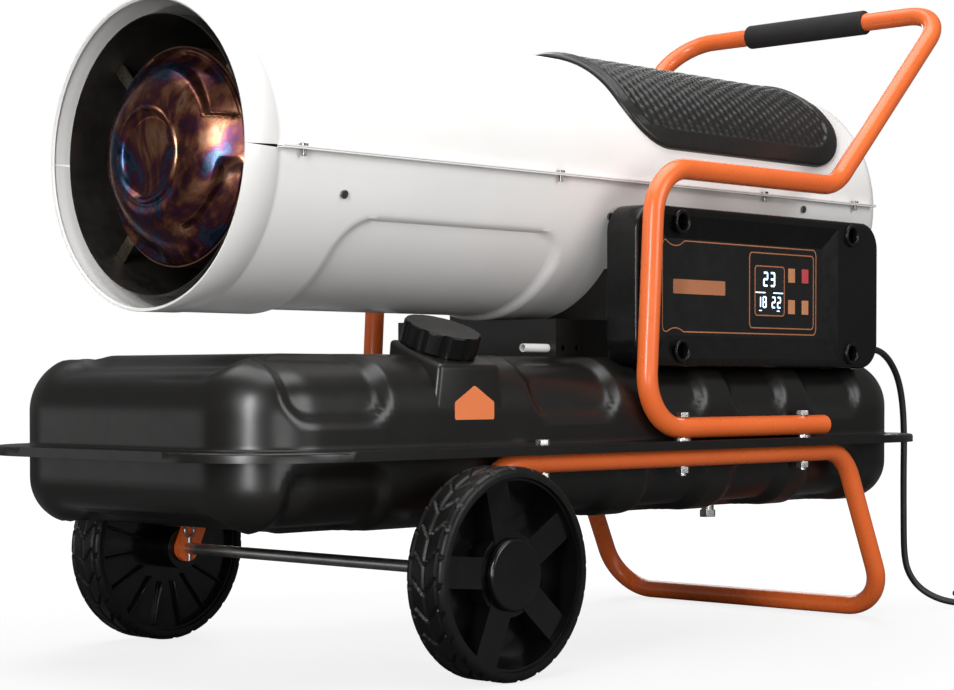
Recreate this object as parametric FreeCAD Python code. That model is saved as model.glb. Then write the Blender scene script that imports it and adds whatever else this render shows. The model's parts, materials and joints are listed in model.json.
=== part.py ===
import FreeCAD, Part
import math
import os

V = FreeCAD.Vector
ORIGIN = V(0, 0, 0)
X_AXIS = V(1, 0, 0)
Y_AXIS = V(0, 1, 0)
Z_AXIS = V(0, 0, 1)

# Millimetres. +Z is up from the floor, -Y is the hot air outlet, +X is the control side.

# Fits shared by all pieces
SEAT_GAP = 0.3
RUN_GAP = 0.05
HOLE_GAP = 0.25
KEY_GAP = 0.3

# Frame tubes and their bolts
TUBE_R = 11.0
TUBE_WALL = 1.5
RAIL_GAP = 0.5
SPACER_T = 2.5
SPACER_R = 9.0
BOLT_R = 4.0
HEX_R = 7.5
HEAD_H = 5.3
NUT_H = 6.5
BOLT_TAIL = 3.0
LONG_BOLT_YS = (42.0, 257.0)
SHORT_BOLT_Y = -177.0

# Leg frame: two rails under the tank, axle lugs in front, floor bar behind
LEG_RAIL_Z = 199.5
LEG_FRONT_Y = -245.0
LEG_REAR_Y = 336.0
FLOOR_BAR_Y = 425.0
LEG_BEND_R = 55.0
LUG_T = 6.0
LUG_R = 14.0
LUG_LEN = 34.0

# Handle frame: rails on the flange, uprights, level arms and a raised cross bar
HANDLE_REAR_Y = 297.0
HANDLE_FOOT_Y = -20.0
HANDLE_SHOULDER_Y = -4.0
HANDLE_ARM_Z = 501.0
HANDLE_ARM_REAR_Y = 318.0
HANDLE_BAR_Y = 552.0
HANDLE_BAR_Z = 727.0
HANDLE_BEND_R = 55.0
GRIP_LEN = 180.0
GRIP_T = 4.0

# Wheels and axle
WHEEL_R = 100.0
WHEEL_W = 47.0
WHEEL_INNER_X = 230.5
AXLE_Y = -290.0
AXLE_R = 6.0
RIM_R = 90.0
RIM_WALL = 3.0
RIM_SIDE = 3.0
WEB_T = 6.0
WEB_INSET = 8.0
HUB_R = 22.0
HUB_STEP_R = 40.0
HUB_CAP_R = 34.0
HUB_CAP_T = 6.0
SPOKE_COUNT = 5
SPOKE_TURN = 13.0
SPOKE_W = 29.0
SPOKE_PROUD = 22.0
TYRE_SHOULDER_R = 6.0
COTTER_R = 1.6
COTTER_EYE_R = 6.0
COTTER_LEN = 26.0

# Fuel tank: two pressed halves with a bolted flange
TANK_T = 1.5
TANK_HALF_W = 194.5
TANK_FRONT = -533.5
TANK_REAR = 493.5
TANK_UP = 88.0
TANK_DOWN = 76.0
TANK_CORNER_R = 78.0
TANK_TOP_R = 55.0
TANK_BOTTOM_R = 46.0
FLANGE_OVER = 33.5
LIP_H = 9.0
RECESS_DEPTH = 8.0
RECESS_CORNER_R = 18.0
RECESS_RISE = 29.0
RECESS_DROP = 16.0
RECESS_INNER_X = 128.0
RECESS_SPANS = ((-490.0, -375.0), (-175.0, -51.0), (5.0, 96.0), (148.0, 240.0), (289.0, 386.0))
FRONT_RECESS_HALF_W = 104.0
FRONT_RECESS_LEN = 70.0
FRONT_RECESS_DEPTH = 12.0
FRONT_RECESS_DROP = 24.0

# Filler neck and screw cap, leaning outwards
FILLER_X = 150.0
FILLER_Y = -266.0
FILLER_LEAN = 20.0
FILLER_RISE = 6.0
WEDGE_W = 98.0
WEDGE_REACH = 26.0
WEDGE_SINK = 0.4
NECK_R = 27.0
NECK_BORE_R = 22.0
NECK_H = 16.0
CAP_R = 38.0
CAP_H = 27.0
CAP_TOP_T = 4.0
CAP_SCALLOPS = 10
CAP_SCALLOP_R = 9.0
CAP_SCALLOP_DEPTH = 2.2
GASKET_T = 2.0
GASKET_W = 6.0

# Drain plug under the tank
DRAIN_X = 120.0
DRAIN_Y = 195.0
DRAIN_BOSS_R = 14.0
DRAIN_BOSS_T = 5.0
DRAIN_HEX_R = 9.5
DRAIN_HEX_H = 8.0
DRAIN_THREAD_R = 7.0

# Riser between tank and barrel
RISER_T = 1.5
RISER_HALF_W = 118.0
RISER_FRONT = -60.0
RISER_REAR = 440.0
RISER_H = 39.7
RISER_HOLE_YS = (-48.0, -26.0)
RISER_HOLE_R = 3.0
SADDLE_Y = 22.0
SADDLE_H = 55.0
VENT_X = 106.0
VENT_RISE = 9.0
VENT_R = 4.5
VENT_LEN = 38.0
VENT_WALL = 1.2

# Barrel: two half shells of sheet, split at the waist
BARREL_R = 146.0
SHELL_T = 1.2
BARREL_FRONT = -503.5
BARREL_REAR = 503.0
REAR_ROUND_R = 24.0
REAR_LIP = 6.0
SEAM_OUT = 9.0
SEAM_T = 1.5
COLLAR_LEN = 39.0
COLLAR_PROUD = 0.8
SEAM_SCREW_YS = (-438.0, -88.0, 260.0, 440.0)
SCREW_R = 2.2
SCREW_HEAD_R = 4.2
SCREW_HEAD_H = 2.4
SCREW_TAIL = 6.0
SHELL_SCREW_YS = (-381.0, -1.0, 340.0)
SHELL_SCREW_ANGLES = (-15.0, -15.0, -4.5)
PANEL_DEPTH = 5.0
LOWER_PANEL_YS = (-370.0, -60.0)
LOWER_PANEL_ANGLE = 24.0
UPPER_PANEL_YS = (-375.0, -103.0)
UPPER_PANEL_ANGLE = 27.0
REAR_SLOTS = 12
REAR_SLOT_W = 7.0
REAR_SLOT_LEN = 26.0

# Hot end: liner, combustion drum, flame dome and clips
LINER_GAP = 14.0
LINER_T = 1.0
LINER_BACK = 12.0
LINER_LEN = 520.0
TAB_W = 16.0
TAB_LEN = 12.0
DRUM_GAP = 28.0
DRUM_T = 1.5
DRUM_BACK = 40.0
DRUM_LEN = 500.0
DOME_STEP = 2.0
DOME_T = 1.6
DOME_RISE = 34.0
DOME_SLOPE = 55.0
DOME_BUTTON_H = 3.0
CLIP_W = 14.0
CLIP_T = 2.0
CLIP_LEN = 26.0
CLIP_ANGLES = (45.0, 135.0, 225.0, 315.0)

# Burner, fan, motor and air pump, on the barrel axis
BURNER_HALF = 32.0
BURNER_LEN = 50.0
BURNER_TUBE_R = 28.0
BURNER_TUBE_LEN = 22.0
ELECTRODE_R = 2.0
ELECTRODE_X = 9.0
ELECTRODE_LEN = 55.0
FAN_GAP = 26.0
FAN_HUB_R = 25.0
FAN_HUB_LEN = 26.0
FAN_BLADES = 5
FAN_BLADE_W = 62.0
FAN_BLADE_T = 2.5
FAN_PITCH = 32.0
BURNER_TO_FAN = 50.0
FAN_TO_MOTOR = 46.0
MOTOR_R = 60.0
MOTOR_LEN = 155.0
SHAFT_R = 6.0
BRACKET_W = 30.0
BRACKET_T = 4.0
BRACKET_ANGLES = (30.0, 150.0, 270.0)
PUMP_R = 46.0
PUMP_BORE_R = 30.0
PUMP_LEN = 45.0
PUMP_COVER_T = 20.0
END_PLAY = 0.3
GAUGE_R = 18.0
GAUGE_LEN = 22.0
GAUGE_OFFSET = 24.0
PIPE_R = 3.0
PIPE_BEND_R = 22.0
FUEL_LINE_R = 4.0
FUEL_LINE_HOLE_R = 6.0
FUEL_LINE_LIFT = 8.0
GUARD_T = 3.0
GUARD_RIM_W = 10.0
GUARD_EYE_R = 30.0
GUARD_RINGS = 4
GUARD_RING_W = 3.0
GUARD_BARS = 8
GUARD_BAR_W = 4.0

# Control box on the riser's side
BOX_FRONT_Y = -15.0
BOX_REAR_Y = 430.0
BOX_DROP = 10.0
BOX_TOP_GAP = 25.0
BOX_BACK_X = 150.0
BOX_FOOT_H = 106.0
BOX_SPLIT_X = 170.0
BOX_FACE_X = 191.0
BOX_WALL = 3.0
BOX_CORNER_R = 30.0
BOX_EDGE_R = 5.0
BOX_BARREL_GAP = 3.0
POCKET_GAP = 0.5
FIELD_DEPTH = 6.0
FIELD_FRONT_Y = 40.0
FIELD_REAR_Y = 323.0
FIELD_LOW_Z = 327.0
FIELD_HIGH_Z = 430.0
BOSS_R = 12.0
BOSS_WELL_R = 8.5
BOSS_YS = (58.0, 373.0)
BOSS_EDGE = 16.5
POST_LEN = 20.0
COVER_SCREW_R = 3.0
COVER_SCREW_HEAD_R = 6.0
COVER_SCREW_HEAD_H = 6.0
PANEL_T = 1.2
DISPLAY_Y = 223.0
DISPLAY_Z = 379.0
DISPLAY_W = 56.0
DISPLAY_H = 56.0
KEY_W = 12.0
KEY_H = 16.0
KEY_PROUD = 0.8
KEY_BACK = 6.0
KEY_RIM = 2.0
KEY_TRAVEL = 0.8
KEYS = (("key_menu", 264.0, 397.5), ("key_power", 290.0, 397.5),
        ("key_down", 264.0, 362.0), ("key_up", 290.0, 362.0))
BOARD_T = 1.6
BOARD_MARGIN = 8.0
TRANSFORMER_LEN = 90.0
TRANSFORMER_W = 40.0
TRANSFORMER_H = 46.0
TRANSFORMER_Y = 130.0

# Ribbed cover over the barrel's top
PAD_T = 8.0
PAD_RIM_W = 18.0
PAD_FIELD_DEPTH = 2.0
PAD_ANGLE = 74.0
PAD_FRONT_Y = 38.0
PAD_SIDE_Y = 75.0
PAD_REAR_Y = 458.0
PAD_CORNER_R = 40.0

# Mains lead: a free stretch, a put-away coil, its tie and a plug
CORD_R = 4.0
GLAND_X = 150.0
GLAND_RISE = 24.0
GLAND_NUT_R = 11.0
GLAND_NUT_LEN = 8.0
GLAND_TAPER_LEN = 26.0
GLAND_TIP_R = 5.5
COIL_X = 226.0
COIL_Y = 642.0
COIL_LEAD_IN = 28.0
COIL_MID_R = 44.0
COIL_TURNS = 1.75
COIL_STEP = 8.7
COIL_HEADING = 20.0
COIL_STUB = 8.0
COIL_LEAD = 56.0
TIE_T = 1.0
TIE_W = 12.0
TIE_ANGLE = 160.0
PLUG_LEN = 44.0
PLUG_W = 34.0
PLUG_TAIL_LEN = 22.0
PLUG_TAIL_R = 6.5
PIN_R = 2.4
PIN_LEN = 19.0
PIN_SPACING = 19.0

# Heights and places that follow from the sizes above
RAIL_X = TANK_HALF_W + RAIL_GAP + TUBE_R
FLANGE_LOW = LEG_RAIL_Z + TUBE_R + SPACER_T
FLANGE_MID = FLANGE_LOW + TANK_T
FLANGE_TOP = FLANGE_MID + TANK_T
HANDLE_RAIL_Z = FLANGE_TOP + SPACER_T + TUBE_R
TANK_TOP = FLANGE_TOP + TANK_UP
TANK_BOTTOM = FLANGE_MID - TANK_DOWN
RISER_TOP = TANK_TOP + RISER_H
BARREL_Z = RISER_TOP + SEAT_GAP + BARREL_R
SHELL_IN_R = BARREL_R - SHELL_T
LINER_R = BARREL_R - LINER_GAP
DRUM_R = LINER_R - DRUM_GAP
DOME_R = DRUM_R - DOME_STEP
DOME_BUTTON_R = DOME_R - DOME_SLOPE
FAN_R = BARREL_R - FAN_GAP
LINER_FRONT = BARREL_FRONT + LINER_BACK
DRUM_FRONT = BARREL_FRONT + DRUM_BACK
DRUM_REAR = DRUM_FRONT + DRUM_LEN
BURNER_FRONT = DRUM_REAR + SEAT_GAP
BURNER_REAR = BURNER_FRONT + BURNER_LEN
FAN_FRONT = BURNER_REAR + BURNER_TO_FAN
MOTOR_FRONT = FAN_FRONT + FAN_HUB_LEN + FAN_TO_MOTOR
MOTOR_REAR = MOTOR_FRONT + MOTOR_LEN
PUMP_REAR = MOTOR_REAR + PUMP_LEN
BOX_LOW = TANK_TOP - BOX_DROP
BOX_HIGH = BARREL_Z - SEAM_T - BOX_TOP_GAP
BOSS_ZS = (BOX_LOW + BOSS_EDGE, BOX_HIGH - BOSS_EDGE)
FIELD_X = BOX_FACE_X - FIELD_DEPTH
BOARD_X = FIELD_X - PANEL_T - BOX_WALL - KEY_BACK - KEY_TRAVEL - KEY_GAP
WHEEL_OUTER_X = WHEEL_INNER_X + WHEEL_W
HUB_INNER_X = RAIL_X + LUG_T / 2 + RUN_GAP * 10
HUB_OUTER_X = WHEEL_OUTER_X - HUB_CAP_T
AXLE_Z = WHEEL_R
COIL_Z = CORD_R + TIE_T + SEAT_GAP
COIL_OUT_R = COIL_MID_R + COIL_STEP * COIL_TURNS / 2
GLAND_Z = BOX_LOW + GLAND_RISE
GLAND_END_Y = BOX_REAR_Y + GLAND_NUT_LEN + GLAND_TAPER_LEN


def block(x0, x1, y0, y1, z0, z1):
    """Box between two corners."""
    return Part.makeBox(x1 - x0, y1 - y0, z1 - z0, V(x0, y0, z0))


def rod(start, end, radius):
    """Round bar between two points."""
    return Part.makeCylinder(radius, (end - start).Length, start, end - start)


def rounded_block(x0, x1, y0, y1, z0, z1, axis, radius):
    """Box whose four edges along one axis are rounded."""
    body = block(x0, x1, y0, y1, z0, z1)
    along = [e for e in body.Edges if abs(e.tangentAt(e.FirstParameter).dot(axis)) > 0.99]
    return body.makeFillet(radius, along)


def fused(shapes):
    """One solid from pieces that touch or overlap."""
    return shapes[0].multiFuse(shapes[1:]).removeSplitter()


def cut_all(shape, tools):
    """A shape with each tool taken away."""
    for tool in tools:
        shape = shape.cut(tool)
    return shape


def both_sides(shape):
    """A piece and its mirror image across the middle plane."""
    return [shape, shape.mirror(ORIGIN, X_AXIS)]


def hex_prism(x, y, z, radius, height):
    """Upright hexagonal prism."""
    corners = [V(x + radius * math.cos(math.radians(a)), y + radius * math.sin(math.radians(a)), z)
               for a in range(0, 361, 60)]
    return Part.Face(Part.makePolygon(corners)).extrude(V(0, 0, height))


def on_axis(radius, y0, y1):
    """Round bar on the barrel axis."""
    return rod(V(0, y0, BARREL_Z), V(0, y1, BARREL_Z), radius)


def ring_on_axis(outer, inner, y0, y1):
    """Ring or tube on the barrel axis."""
    return on_axis(outer, y0, y1).cut(on_axis(inner, y0, y1))


def turned(profile, angle=360.0):
    """Solid of revolution on the barrel axis from (radius, y) points."""
    points = [V(r, y, BARREL_Z) for r, y in profile]
    face = Part.Face(Part.makePolygon(points + points[:1]))
    return face.revolve(V(0, 0, BARREL_Z), V(0, -1, 0), angle)


def about_axis(shape, degrees):
    """Copy turned round the barrel axis, from +X up towards +Z."""
    return shape.rotated(V(0, 0, BARREL_Z), V(0, -1, 0), degrees)


def bent_path(points, radii):
    """Straight runs joined by tangent arcs."""
    edges = []
    start = points[0]
    for before, corner, after, radius in zip(points, points[1:], points[2:], radii):
        back = (before - corner).normalize()
        ahead = (after - corner).normalize()
        half = back.getAngle(ahead) / 2
        reach = radius / math.tan(half)
        middle = corner + (back + ahead).normalize() * (radius / math.sin(half) - radius)
        arc_start = corner + back * reach
        arc_end = corner + ahead * reach
        edges.append(Part.LineSegment(start, arc_start).toShape())
        edges.append(Part.Arc(arc_start, middle, arc_end).toShape())
        start = arc_end
    edges.append(Part.LineSegment(start, points[-1]).toShape())
    return Part.Wire(edges)


def swept(path, radius):
    """Round bar along a path."""
    first = path.OrderedEdges[0]
    heading = path.OrderedEdges[0].tangentAt(first.FirstParameter)
    section = Part.Wire(Part.makeCircle(radius, path.OrderedVertexes[0].Point, heading))
    return path.makePipeShell([section], True, False)


def bent_tube(points, bend_r):
    """Hollow frame tube with closed ends."""
    radii = [bend_r] * (len(points) - 2)
    outer = swept(bent_path(points, radii), TUBE_R)
    first = (points[1] - points[0]).normalize() * TUBE_WALL
    last = (points[-2] - points[-1]).normalize() * TUBE_WALL
    inside = [points[0] + first] + points[1:-1] + [points[-1] + last]
    return outer.cut(swept(bent_path(inside, radii), TUBE_R - TUBE_WALL))


def mirrored_points(points):
    """Half of a symmetric path, followed by its mirror image."""
    return points + [V(-p.x, p.y, p.z) for p in reversed(points)]


def bolt_holes(z0, z1, ys):
    """Upright clearance holes through both rails."""
    return [rod(V(side * RAIL_X, y, z0), V(side * RAIL_X, y, z1), BOLT_R + HOLE_GAP)
            for side in (1, -1) for y in ys]


def leg_tube():
    """Leg frame: lugs, rails and floor bar in one bent tube."""
    slope = V(0, AXLE_Y - LEG_FRONT_Y, AXLE_Z - LEG_RAIL_Z).normalize()
    axle = V(RAIL_X, AXLE_Y, AXLE_Z)
    points = [axle - slope * LUG_LEN, V(RAIL_X, LEG_FRONT_Y, LEG_RAIL_Z), V(RAIL_X, LEG_REAR_Y, LEG_RAIL_Z),
              V(RAIL_X, FLOOR_BAR_Y, TUBE_R)]
    frame = bent_tube(mirrored_points(points), LEG_BEND_R)
    half = V(LUG_T / 2, 0, 0)
    turn = math.degrees(math.atan2(slope.y, -slope.z))
    strap = block(RAIL_X - LUG_T / 2, RAIL_X + LUG_T / 2, AXLE_Y - LUG_R, AXLE_Y + LUG_R, AXLE_Z,
                  AXLE_Z + LUG_LEN + LUG_R / 2)
    strap.rotate(axle, X_AXIS, turn)
    lug = fused([rod(axle - half, axle + half, LUG_R), strap])
    lug = lug.cut(rod(axle - half * 2, axle + half * 2, AXLE_R + RUN_GAP))
    frame = fused([frame] + both_sides(lug))
    return cut_all(frame, bolt_holes(0, FLANGE_LOW, LONG_BOLT_YS + (SHORT_BOLT_Y,)))


def handle_tube():
    """Handle frame: rails, uprights, level arms and cross bar in one bent tube."""
    points = [V(RAIL_X, HANDLE_REAR_Y, HANDLE_RAIL_Z), V(RAIL_X, HANDLE_FOOT_Y, HANDLE_RAIL_Z),
              V(RAIL_X, HANDLE_SHOULDER_Y, HANDLE_ARM_Z), V(RAIL_X, HANDLE_ARM_REAR_Y, HANDLE_ARM_Z),
              V(RAIL_X, HANDLE_BAR_Y, HANDLE_BAR_Z)]
    frame = bent_tube(mirrored_points(points), HANDLE_BEND_R)
    top = HANDLE_RAIL_Z + TUBE_R + SPACER_T
    return cut_all(frame, bolt_holes(FLANGE_TOP, top, LONG_BOLT_YS))


def foam_grip():
    """Soft sleeve on the cross bar."""
    start = V(-GRIP_LEN / 2, HANDLE_BAR_Y, HANDLE_BAR_Z)
    end = V(GRIP_LEN / 2, HANDLE_BAR_Y, HANDLE_BAR_Z)
    return rod(start, end, TUBE_R + GRIP_T).cut(rod(start, end, TUBE_R + SEAT_GAP))


def frame_fasteners():
    """Bolts, nuts and spacers that clamp the rails to the tank flange."""
    bolts = []
    nuts = []
    spacers = []
    low = LEG_RAIL_Z - TUBE_R
    for x in (RAIL_X, -RAIL_X):
        for y in LONG_BOLT_YS + (SHORT_BOLT_Y,):
            top = HANDLE_RAIL_Z + TUBE_R if y in LONG_BOLT_YS else FLANGE_TOP
            shank = rod(V(x, y, low - NUT_H - BOLT_TAIL), V(x, y, top), BOLT_R)
            bolts.append(fused([shank, hex_prism(x, y, top, HEX_R, HEAD_H)]))
            bore = rod(V(x, y, low - NUT_H), V(x, y, low), BOLT_R + RUN_GAP)
            nuts.append(hex_prism(x, y, low - NUT_H, HEX_R, NUT_H).cut(bore))
            seats = [FLANGE_LOW - SPACER_T]
            if y in LONG_BOLT_YS:
                seats.append(FLANGE_TOP)
            for z in seats:
                hole = rod(V(x, y, z), V(x, y, z + SPACER_T), BOLT_R + HOLE_GAP)
                spacers.append(rod(V(x, y, z), V(x, y, z + SPACER_T), SPACER_R).cut(hole))
    return bolts, nuts, spacers


def axle():
    """Round axle through both lugs, drilled for its cotter pins."""
    bar = rod(V(-HUB_OUTER_X, AXLE_Y, AXLE_Z), V(HUB_OUTER_X, AXLE_Y, AXLE_Z), AXLE_R)
    for x in (cotter_x(), -cotter_x()):
        bar = bar.cut(rod(V(x, AXLE_Y, 0), V(x, AXLE_Y, 2 * AXLE_Z), COTTER_R + RUN_GAP))
    return bar


def cotter_x():
    """Where a cotter pin crosses the axle, just inside the lug."""
    return RAIL_X - LUG_T / 2 - COTTER_R - SEAT_GAP


def cotter_pins():
    """Ring-headed pins that keep the axle in its lugs."""
    pins = []
    for x in (cotter_x(), -cotter_x()):
        pin = rod(V(x, AXLE_Y, AXLE_Z - COTTER_LEN / 2), V(x, AXLE_Y, AXLE_Z + COTTER_LEN / 2), COTTER_R)
        eye_z = AXLE_Z + COTTER_LEN / 2 + COTTER_EYE_R
        eye = Part.makeTorus(COTTER_EYE_R, COTTER_R, V(x, AXLE_Y, eye_z), X_AXIS)
        pins.append(fused([pin, eye]))
    return pins


def wheel_bar(radius, x0, x1):
    """Round bar on the axle of the +X wheel."""
    return rod(V(x0, AXLE_Y, AXLE_Z), V(x1, AXLE_Y, AXLE_Z), radius)


def wheel_rim():
    """Moulded wheel: rim ring, closed web, raised spokes and long hub."""
    x0 = WHEEL_INNER_X + RIM_SIDE
    x1 = WHEEL_OUTER_X - RIM_SIDE
    web_x = x0 + WEB_INSET
    well_r = RIM_R - RIM_WALL
    ring = wheel_bar(RIM_R, x0, x1).cut(wheel_bar(well_r, x0, x1))
    web = wheel_bar(well_r + RIM_WALL / 2, web_x, web_x + WEB_T)
    hub = wheel_bar(HUB_R, HUB_INNER_X, HUB_OUTER_X)
    step = wheel_bar(HUB_STEP_R, web_x, HUB_OUTER_X - RIM_SIDE)
    pieces = [ring, web, hub, step]
    for k in range(SPOKE_COUNT):
        spoke = block(web_x, web_x + WEB_T + SPOKE_PROUD, AXLE_Y - SPOKE_W / 2, AXLE_Y + SPOKE_W / 2,
                      AXLE_Z, AXLE_Z + well_r + RIM_WALL / 8)
        spoke.rotate(V(0, AXLE_Y, AXLE_Z), X_AXIS, SPOKE_TURN + k * 360.0 / SPOKE_COUNT)
        pieces.append(spoke)
    return fused(pieces).cut(wheel_bar(AXLE_R + RUN_GAP, 0, WHEEL_OUTER_X))


def tyre():
    """Rubber tyre with rounded shoulders."""
    ring = wheel_bar(WHEEL_R, WHEEL_INNER_X, WHEEL_OUTER_X)
    ring = ring.makeFillet(TYRE_SHOULDER_R, [e for e in ring.Edges if len(e.Vertexes) == 1])
    return ring.cut(wheel_bar(RIM_R + SEAT_GAP, WHEEL_INNER_X, WHEEL_OUTER_X))


def hub_cap():
    """Dished cap over the axle end."""
    cap = wheel_bar(HUB_CAP_R, HUB_OUTER_X, WHEEL_OUTER_X)
    outer = [e for e in cap.Edges if len(e.Vertexes) == 1 and abs(e.Vertexes[0].X - WHEEL_OUTER_X) < 1e-6]
    return cap.makeFillet(HUB_CAP_T / 2, outer)


def plan_slab(outset, z0, z1):
    """Slab of the tank's plan outline, grown by an outset."""
    half_w = TANK_HALF_W + outset
    return rounded_block(-half_w, half_w, TANK_FRONT - outset, TANK_REAR + outset, z0, z1, Z_AXIS,
                         TANK_CORNER_R + outset)


def tank_slab(inset, upper):
    """Tank half without recesses, shrunk by an inset."""
    if upper:
        far_z = TANK_TOP - inset
        edge_r = TANK_TOP_R - inset
        body = plan_slab(-inset, FLANGE_MID, far_z)
    else:
        far_z = TANK_BOTTOM + inset
        edge_r = TANK_BOTTOM_R - inset
        body = plan_slab(-inset, far_z, FLANGE_MID)
    rim = [e for e in body.Edges if all(abs(v.Z - far_z) < 1e-6 for v in e.Vertexes)]
    return body.makeFillet(edge_r, rim)


def tank_form(inset, upper):
    """Tank half with its pressed recesses, as a solid shrunk by an inset."""
    form = tank_slab(inset, upper)
    deep = tank_slab(inset + RECESS_DEPTH, upper)
    if upper:
        z0 = FLANGE_TOP + RECESS_RISE - inset
        z1 = TANK_TOP + RECESS_CORNER_R * 2
    else:
        z0 = TANK_BOTTOM - RECESS_CORNER_R * 2
        z1 = FLANGE_LOW - RECESS_DROP + inset
    outer_x = TANK_HALF_W + RECESS_CORNER_R
    for y0, y1 in RECESS_SPANS:
        window = rounded_block(RECESS_INNER_X - inset, outer_x, y0 - inset, y1 + inset, z0, z1, X_AXIS,
                               RECESS_CORNER_R + inset)
        form = cut_all(form, [side.cut(deep) for side in both_sides(window)])
    if upper:
        z0 = TANK_TOP - FRONT_RECESS_DROP - inset
    else:
        z1 = TANK_BOTTOM + FRONT_RECESS_DROP + inset
    nose = rounded_block(-FRONT_RECESS_HALF_W - inset, FRONT_RECESS_HALF_W + inset, TANK_FRONT - RECESS_CORNER_R,
                         TANK_FRONT + FRONT_RECESS_LEN + inset, z0, z1, Y_AXIS, RECESS_CORNER_R + inset)
    form = form.cut(nose.cut(tank_slab(inset + FRONT_RECESS_DEPTH, upper)))
    if upper:
        rear = BOX_REAR_Y + POCKET_GAP + inset
        low = BOX_LOW - POCKET_GAP - inset
        under_box = block(BOX_BACK_X - POCKET_GAP - inset, outer_x, BOX_FRONT_Y - POCKET_GAP - inset, rear, low, z1)
        under_foot = block(RISER_HALF_W + RISER_T - inset, outer_x, SADDLE_Y - POCKET_GAP - inset, rear, low, z1)
        form = cut_all(form, [under_box, under_foot])
    return form


def filler_frame(shape):
    """Move a piece made on an upright axis at the origin to the leaning filler."""
    shape = shape.rotated(ORIGIN, Y_AXIS, FILLER_LEAN)
    return shape.translated(V(FILLER_X, FILLER_Y, TANK_TOP + FILLER_RISE))


def fuel_line_hole(z0, z1):
    """Upright hole for the fuel line."""
    y = (BURNER_FRONT + BURNER_REAR) / 2
    return rod(V(0, y, z0), V(0, y, z1), FUEL_LINE_HOLE_R)


def tank_upper():
    """Upper tank half with the flange whose lip turns down."""
    shell = tank_form(0, True).cut(tank_form(TANK_T, True))
    flange = plan_slab(FLANGE_OVER, FLANGE_MID, FLANGE_TOP).cut(plan_slab(-TANK_T, FLANGE_MID, FLANGE_TOP))
    lip = plan_slab(FLANGE_OVER, FLANGE_TOP - LIP_H, FLANGE_TOP)
    lip = lip.cut(plan_slab(FLANGE_OVER - TANK_T, FLANGE_TOP - LIP_H, FLANGE_TOP))
    half = fused([shell, flange, lip])
    half = cut_all(half, bolt_holes(FLANGE_LOW, FLANGE_TOP, LONG_BOLT_YS + (SHORT_BOLT_Y,)))
    half = half.cut(fuel_line_hole(FLANGE_TOP, RISER_TOP))
    return half.cut(filler_frame(rod(V(0, 0, -TANK_UP), V(0, 0, TANK_UP), NECK_BORE_R)))


def tank_lower():
    """Lower tank half with a plain flange and the drain hole."""
    shell = tank_form(0, False).cut(tank_form(TANK_T, False))
    rim = FLANGE_OVER - TANK_T - SEAT_GAP
    flange = plan_slab(rim, FLANGE_LOW, FLANGE_MID).cut(plan_slab(-TANK_T, FLANGE_LOW, FLANGE_MID))
    half = fused([shell, flange])
    half = cut_all(half, bolt_holes(FLANGE_LOW, FLANGE_TOP, LONG_BOLT_YS + (SHORT_BOLT_Y,)))
    boss = rod(V(DRAIN_X, DRAIN_Y, TANK_BOTTOM - DRAIN_BOSS_T), V(DRAIN_X, DRAIN_Y, TANK_BOTTOM + TANK_T),
               DRAIN_BOSS_R)
    half = fused([half, boss])
    return half.cut(rod(V(DRAIN_X, DRAIN_Y, 0), V(DRAIN_X, DRAIN_Y, FLANGE_LOW), DRAIN_THREAD_R + RUN_GAP))


def drain_plug():
    """Hex headed plug in the tank's floor."""
    seat = TANK_BOTTOM - DRAIN_BOSS_T
    head = hex_prism(DRAIN_X, DRAIN_Y, seat - DRAIN_HEX_H, DRAIN_HEX_R, DRAIN_HEX_H)
    return fused([head, rod(V(DRAIN_X, DRAIN_Y, seat), V(DRAIN_X, DRAIN_Y, TANK_BOTTOM + TANK_T), DRAIN_THREAD_R)])


def filler_wedge():
    """Prism whose leaning top carries the filler neck."""
    slope = math.tan(math.radians(FILLER_LEAN))
    seat_z = TANK_TOP + FILLER_RISE
    outer_x = TANK_HALF_W - WEDGE_SINK
    inner_x = FILLER_X - WEDGE_REACH
    y = FILLER_Y - WEDGE_W / 2
    corners = [V(outer_x, y, TANK_TOP - TANK_TOP_R), V(outer_x, y, seat_z - (outer_x - FILLER_X) * slope),
               V(inner_x, y, seat_z + WEDGE_REACH * slope), V(inner_x, y, TANK_TOP - TANK_TOP_R)]
    return Part.Face(Part.makePolygon(corners + corners[:1])).extrude(V(0, WEDGE_W, 0))


def filler_neck():
    """Wedge that fills the tank's rounded edge, with the threaded neck that takes the cap."""
    neck = filler_frame(rod(V(0, 0, -TANK_T), V(0, 0, NECK_H), NECK_R))
    bore = filler_frame(rod(V(0, 0, -TANK_UP), V(0, 0, TANK_UP), NECK_BORE_R))
    outside = fused([filler_wedge(), neck]).cut(bore).cut(tank_slab(0, True))
    return max(outside.Solids, key=lambda solid: solid.BoundBox.ZMax)


def cap_gasket():
    """Flat seal between neck and cap."""
    low = V(0, 0, NECK_H)
    high = V(0, 0, NECK_H + GASKET_T)
    return filler_frame(rod(low, high, NECK_R).cut(rod(low, high, NECK_R - GASKET_W)))


def fuel_cap():
    """Scalloped screw cap."""
    low = V(0, 0, SEAT_GAP)
    top = V(0, 0, NECK_H + GASKET_T + SEAT_GAP + CAP_TOP_T)
    cap = rod(low, top, CAP_R)
    cap = cap.makeFillet(CAP_TOP_T / 2, [e for e in cap.Edges if len(e.Vertexes) == 1])
    cap = cap.cut(rod(low, top - V(0, 0, CAP_TOP_T), NECK_R + SEAT_GAP))
    reach = CAP_R + CAP_SCALLOP_R - CAP_SCALLOP_DEPTH
    for k in range(CAP_SCALLOPS):
        angle = math.radians(k * 360.0 / CAP_SCALLOPS)
        foot = V(reach * math.cos(angle), reach * math.sin(angle), 0)
        cap = cap.cut(rod(foot, foot + V(0, 0, CAP_H * 2), CAP_SCALLOP_R))
    return filler_frame(cap)


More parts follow.
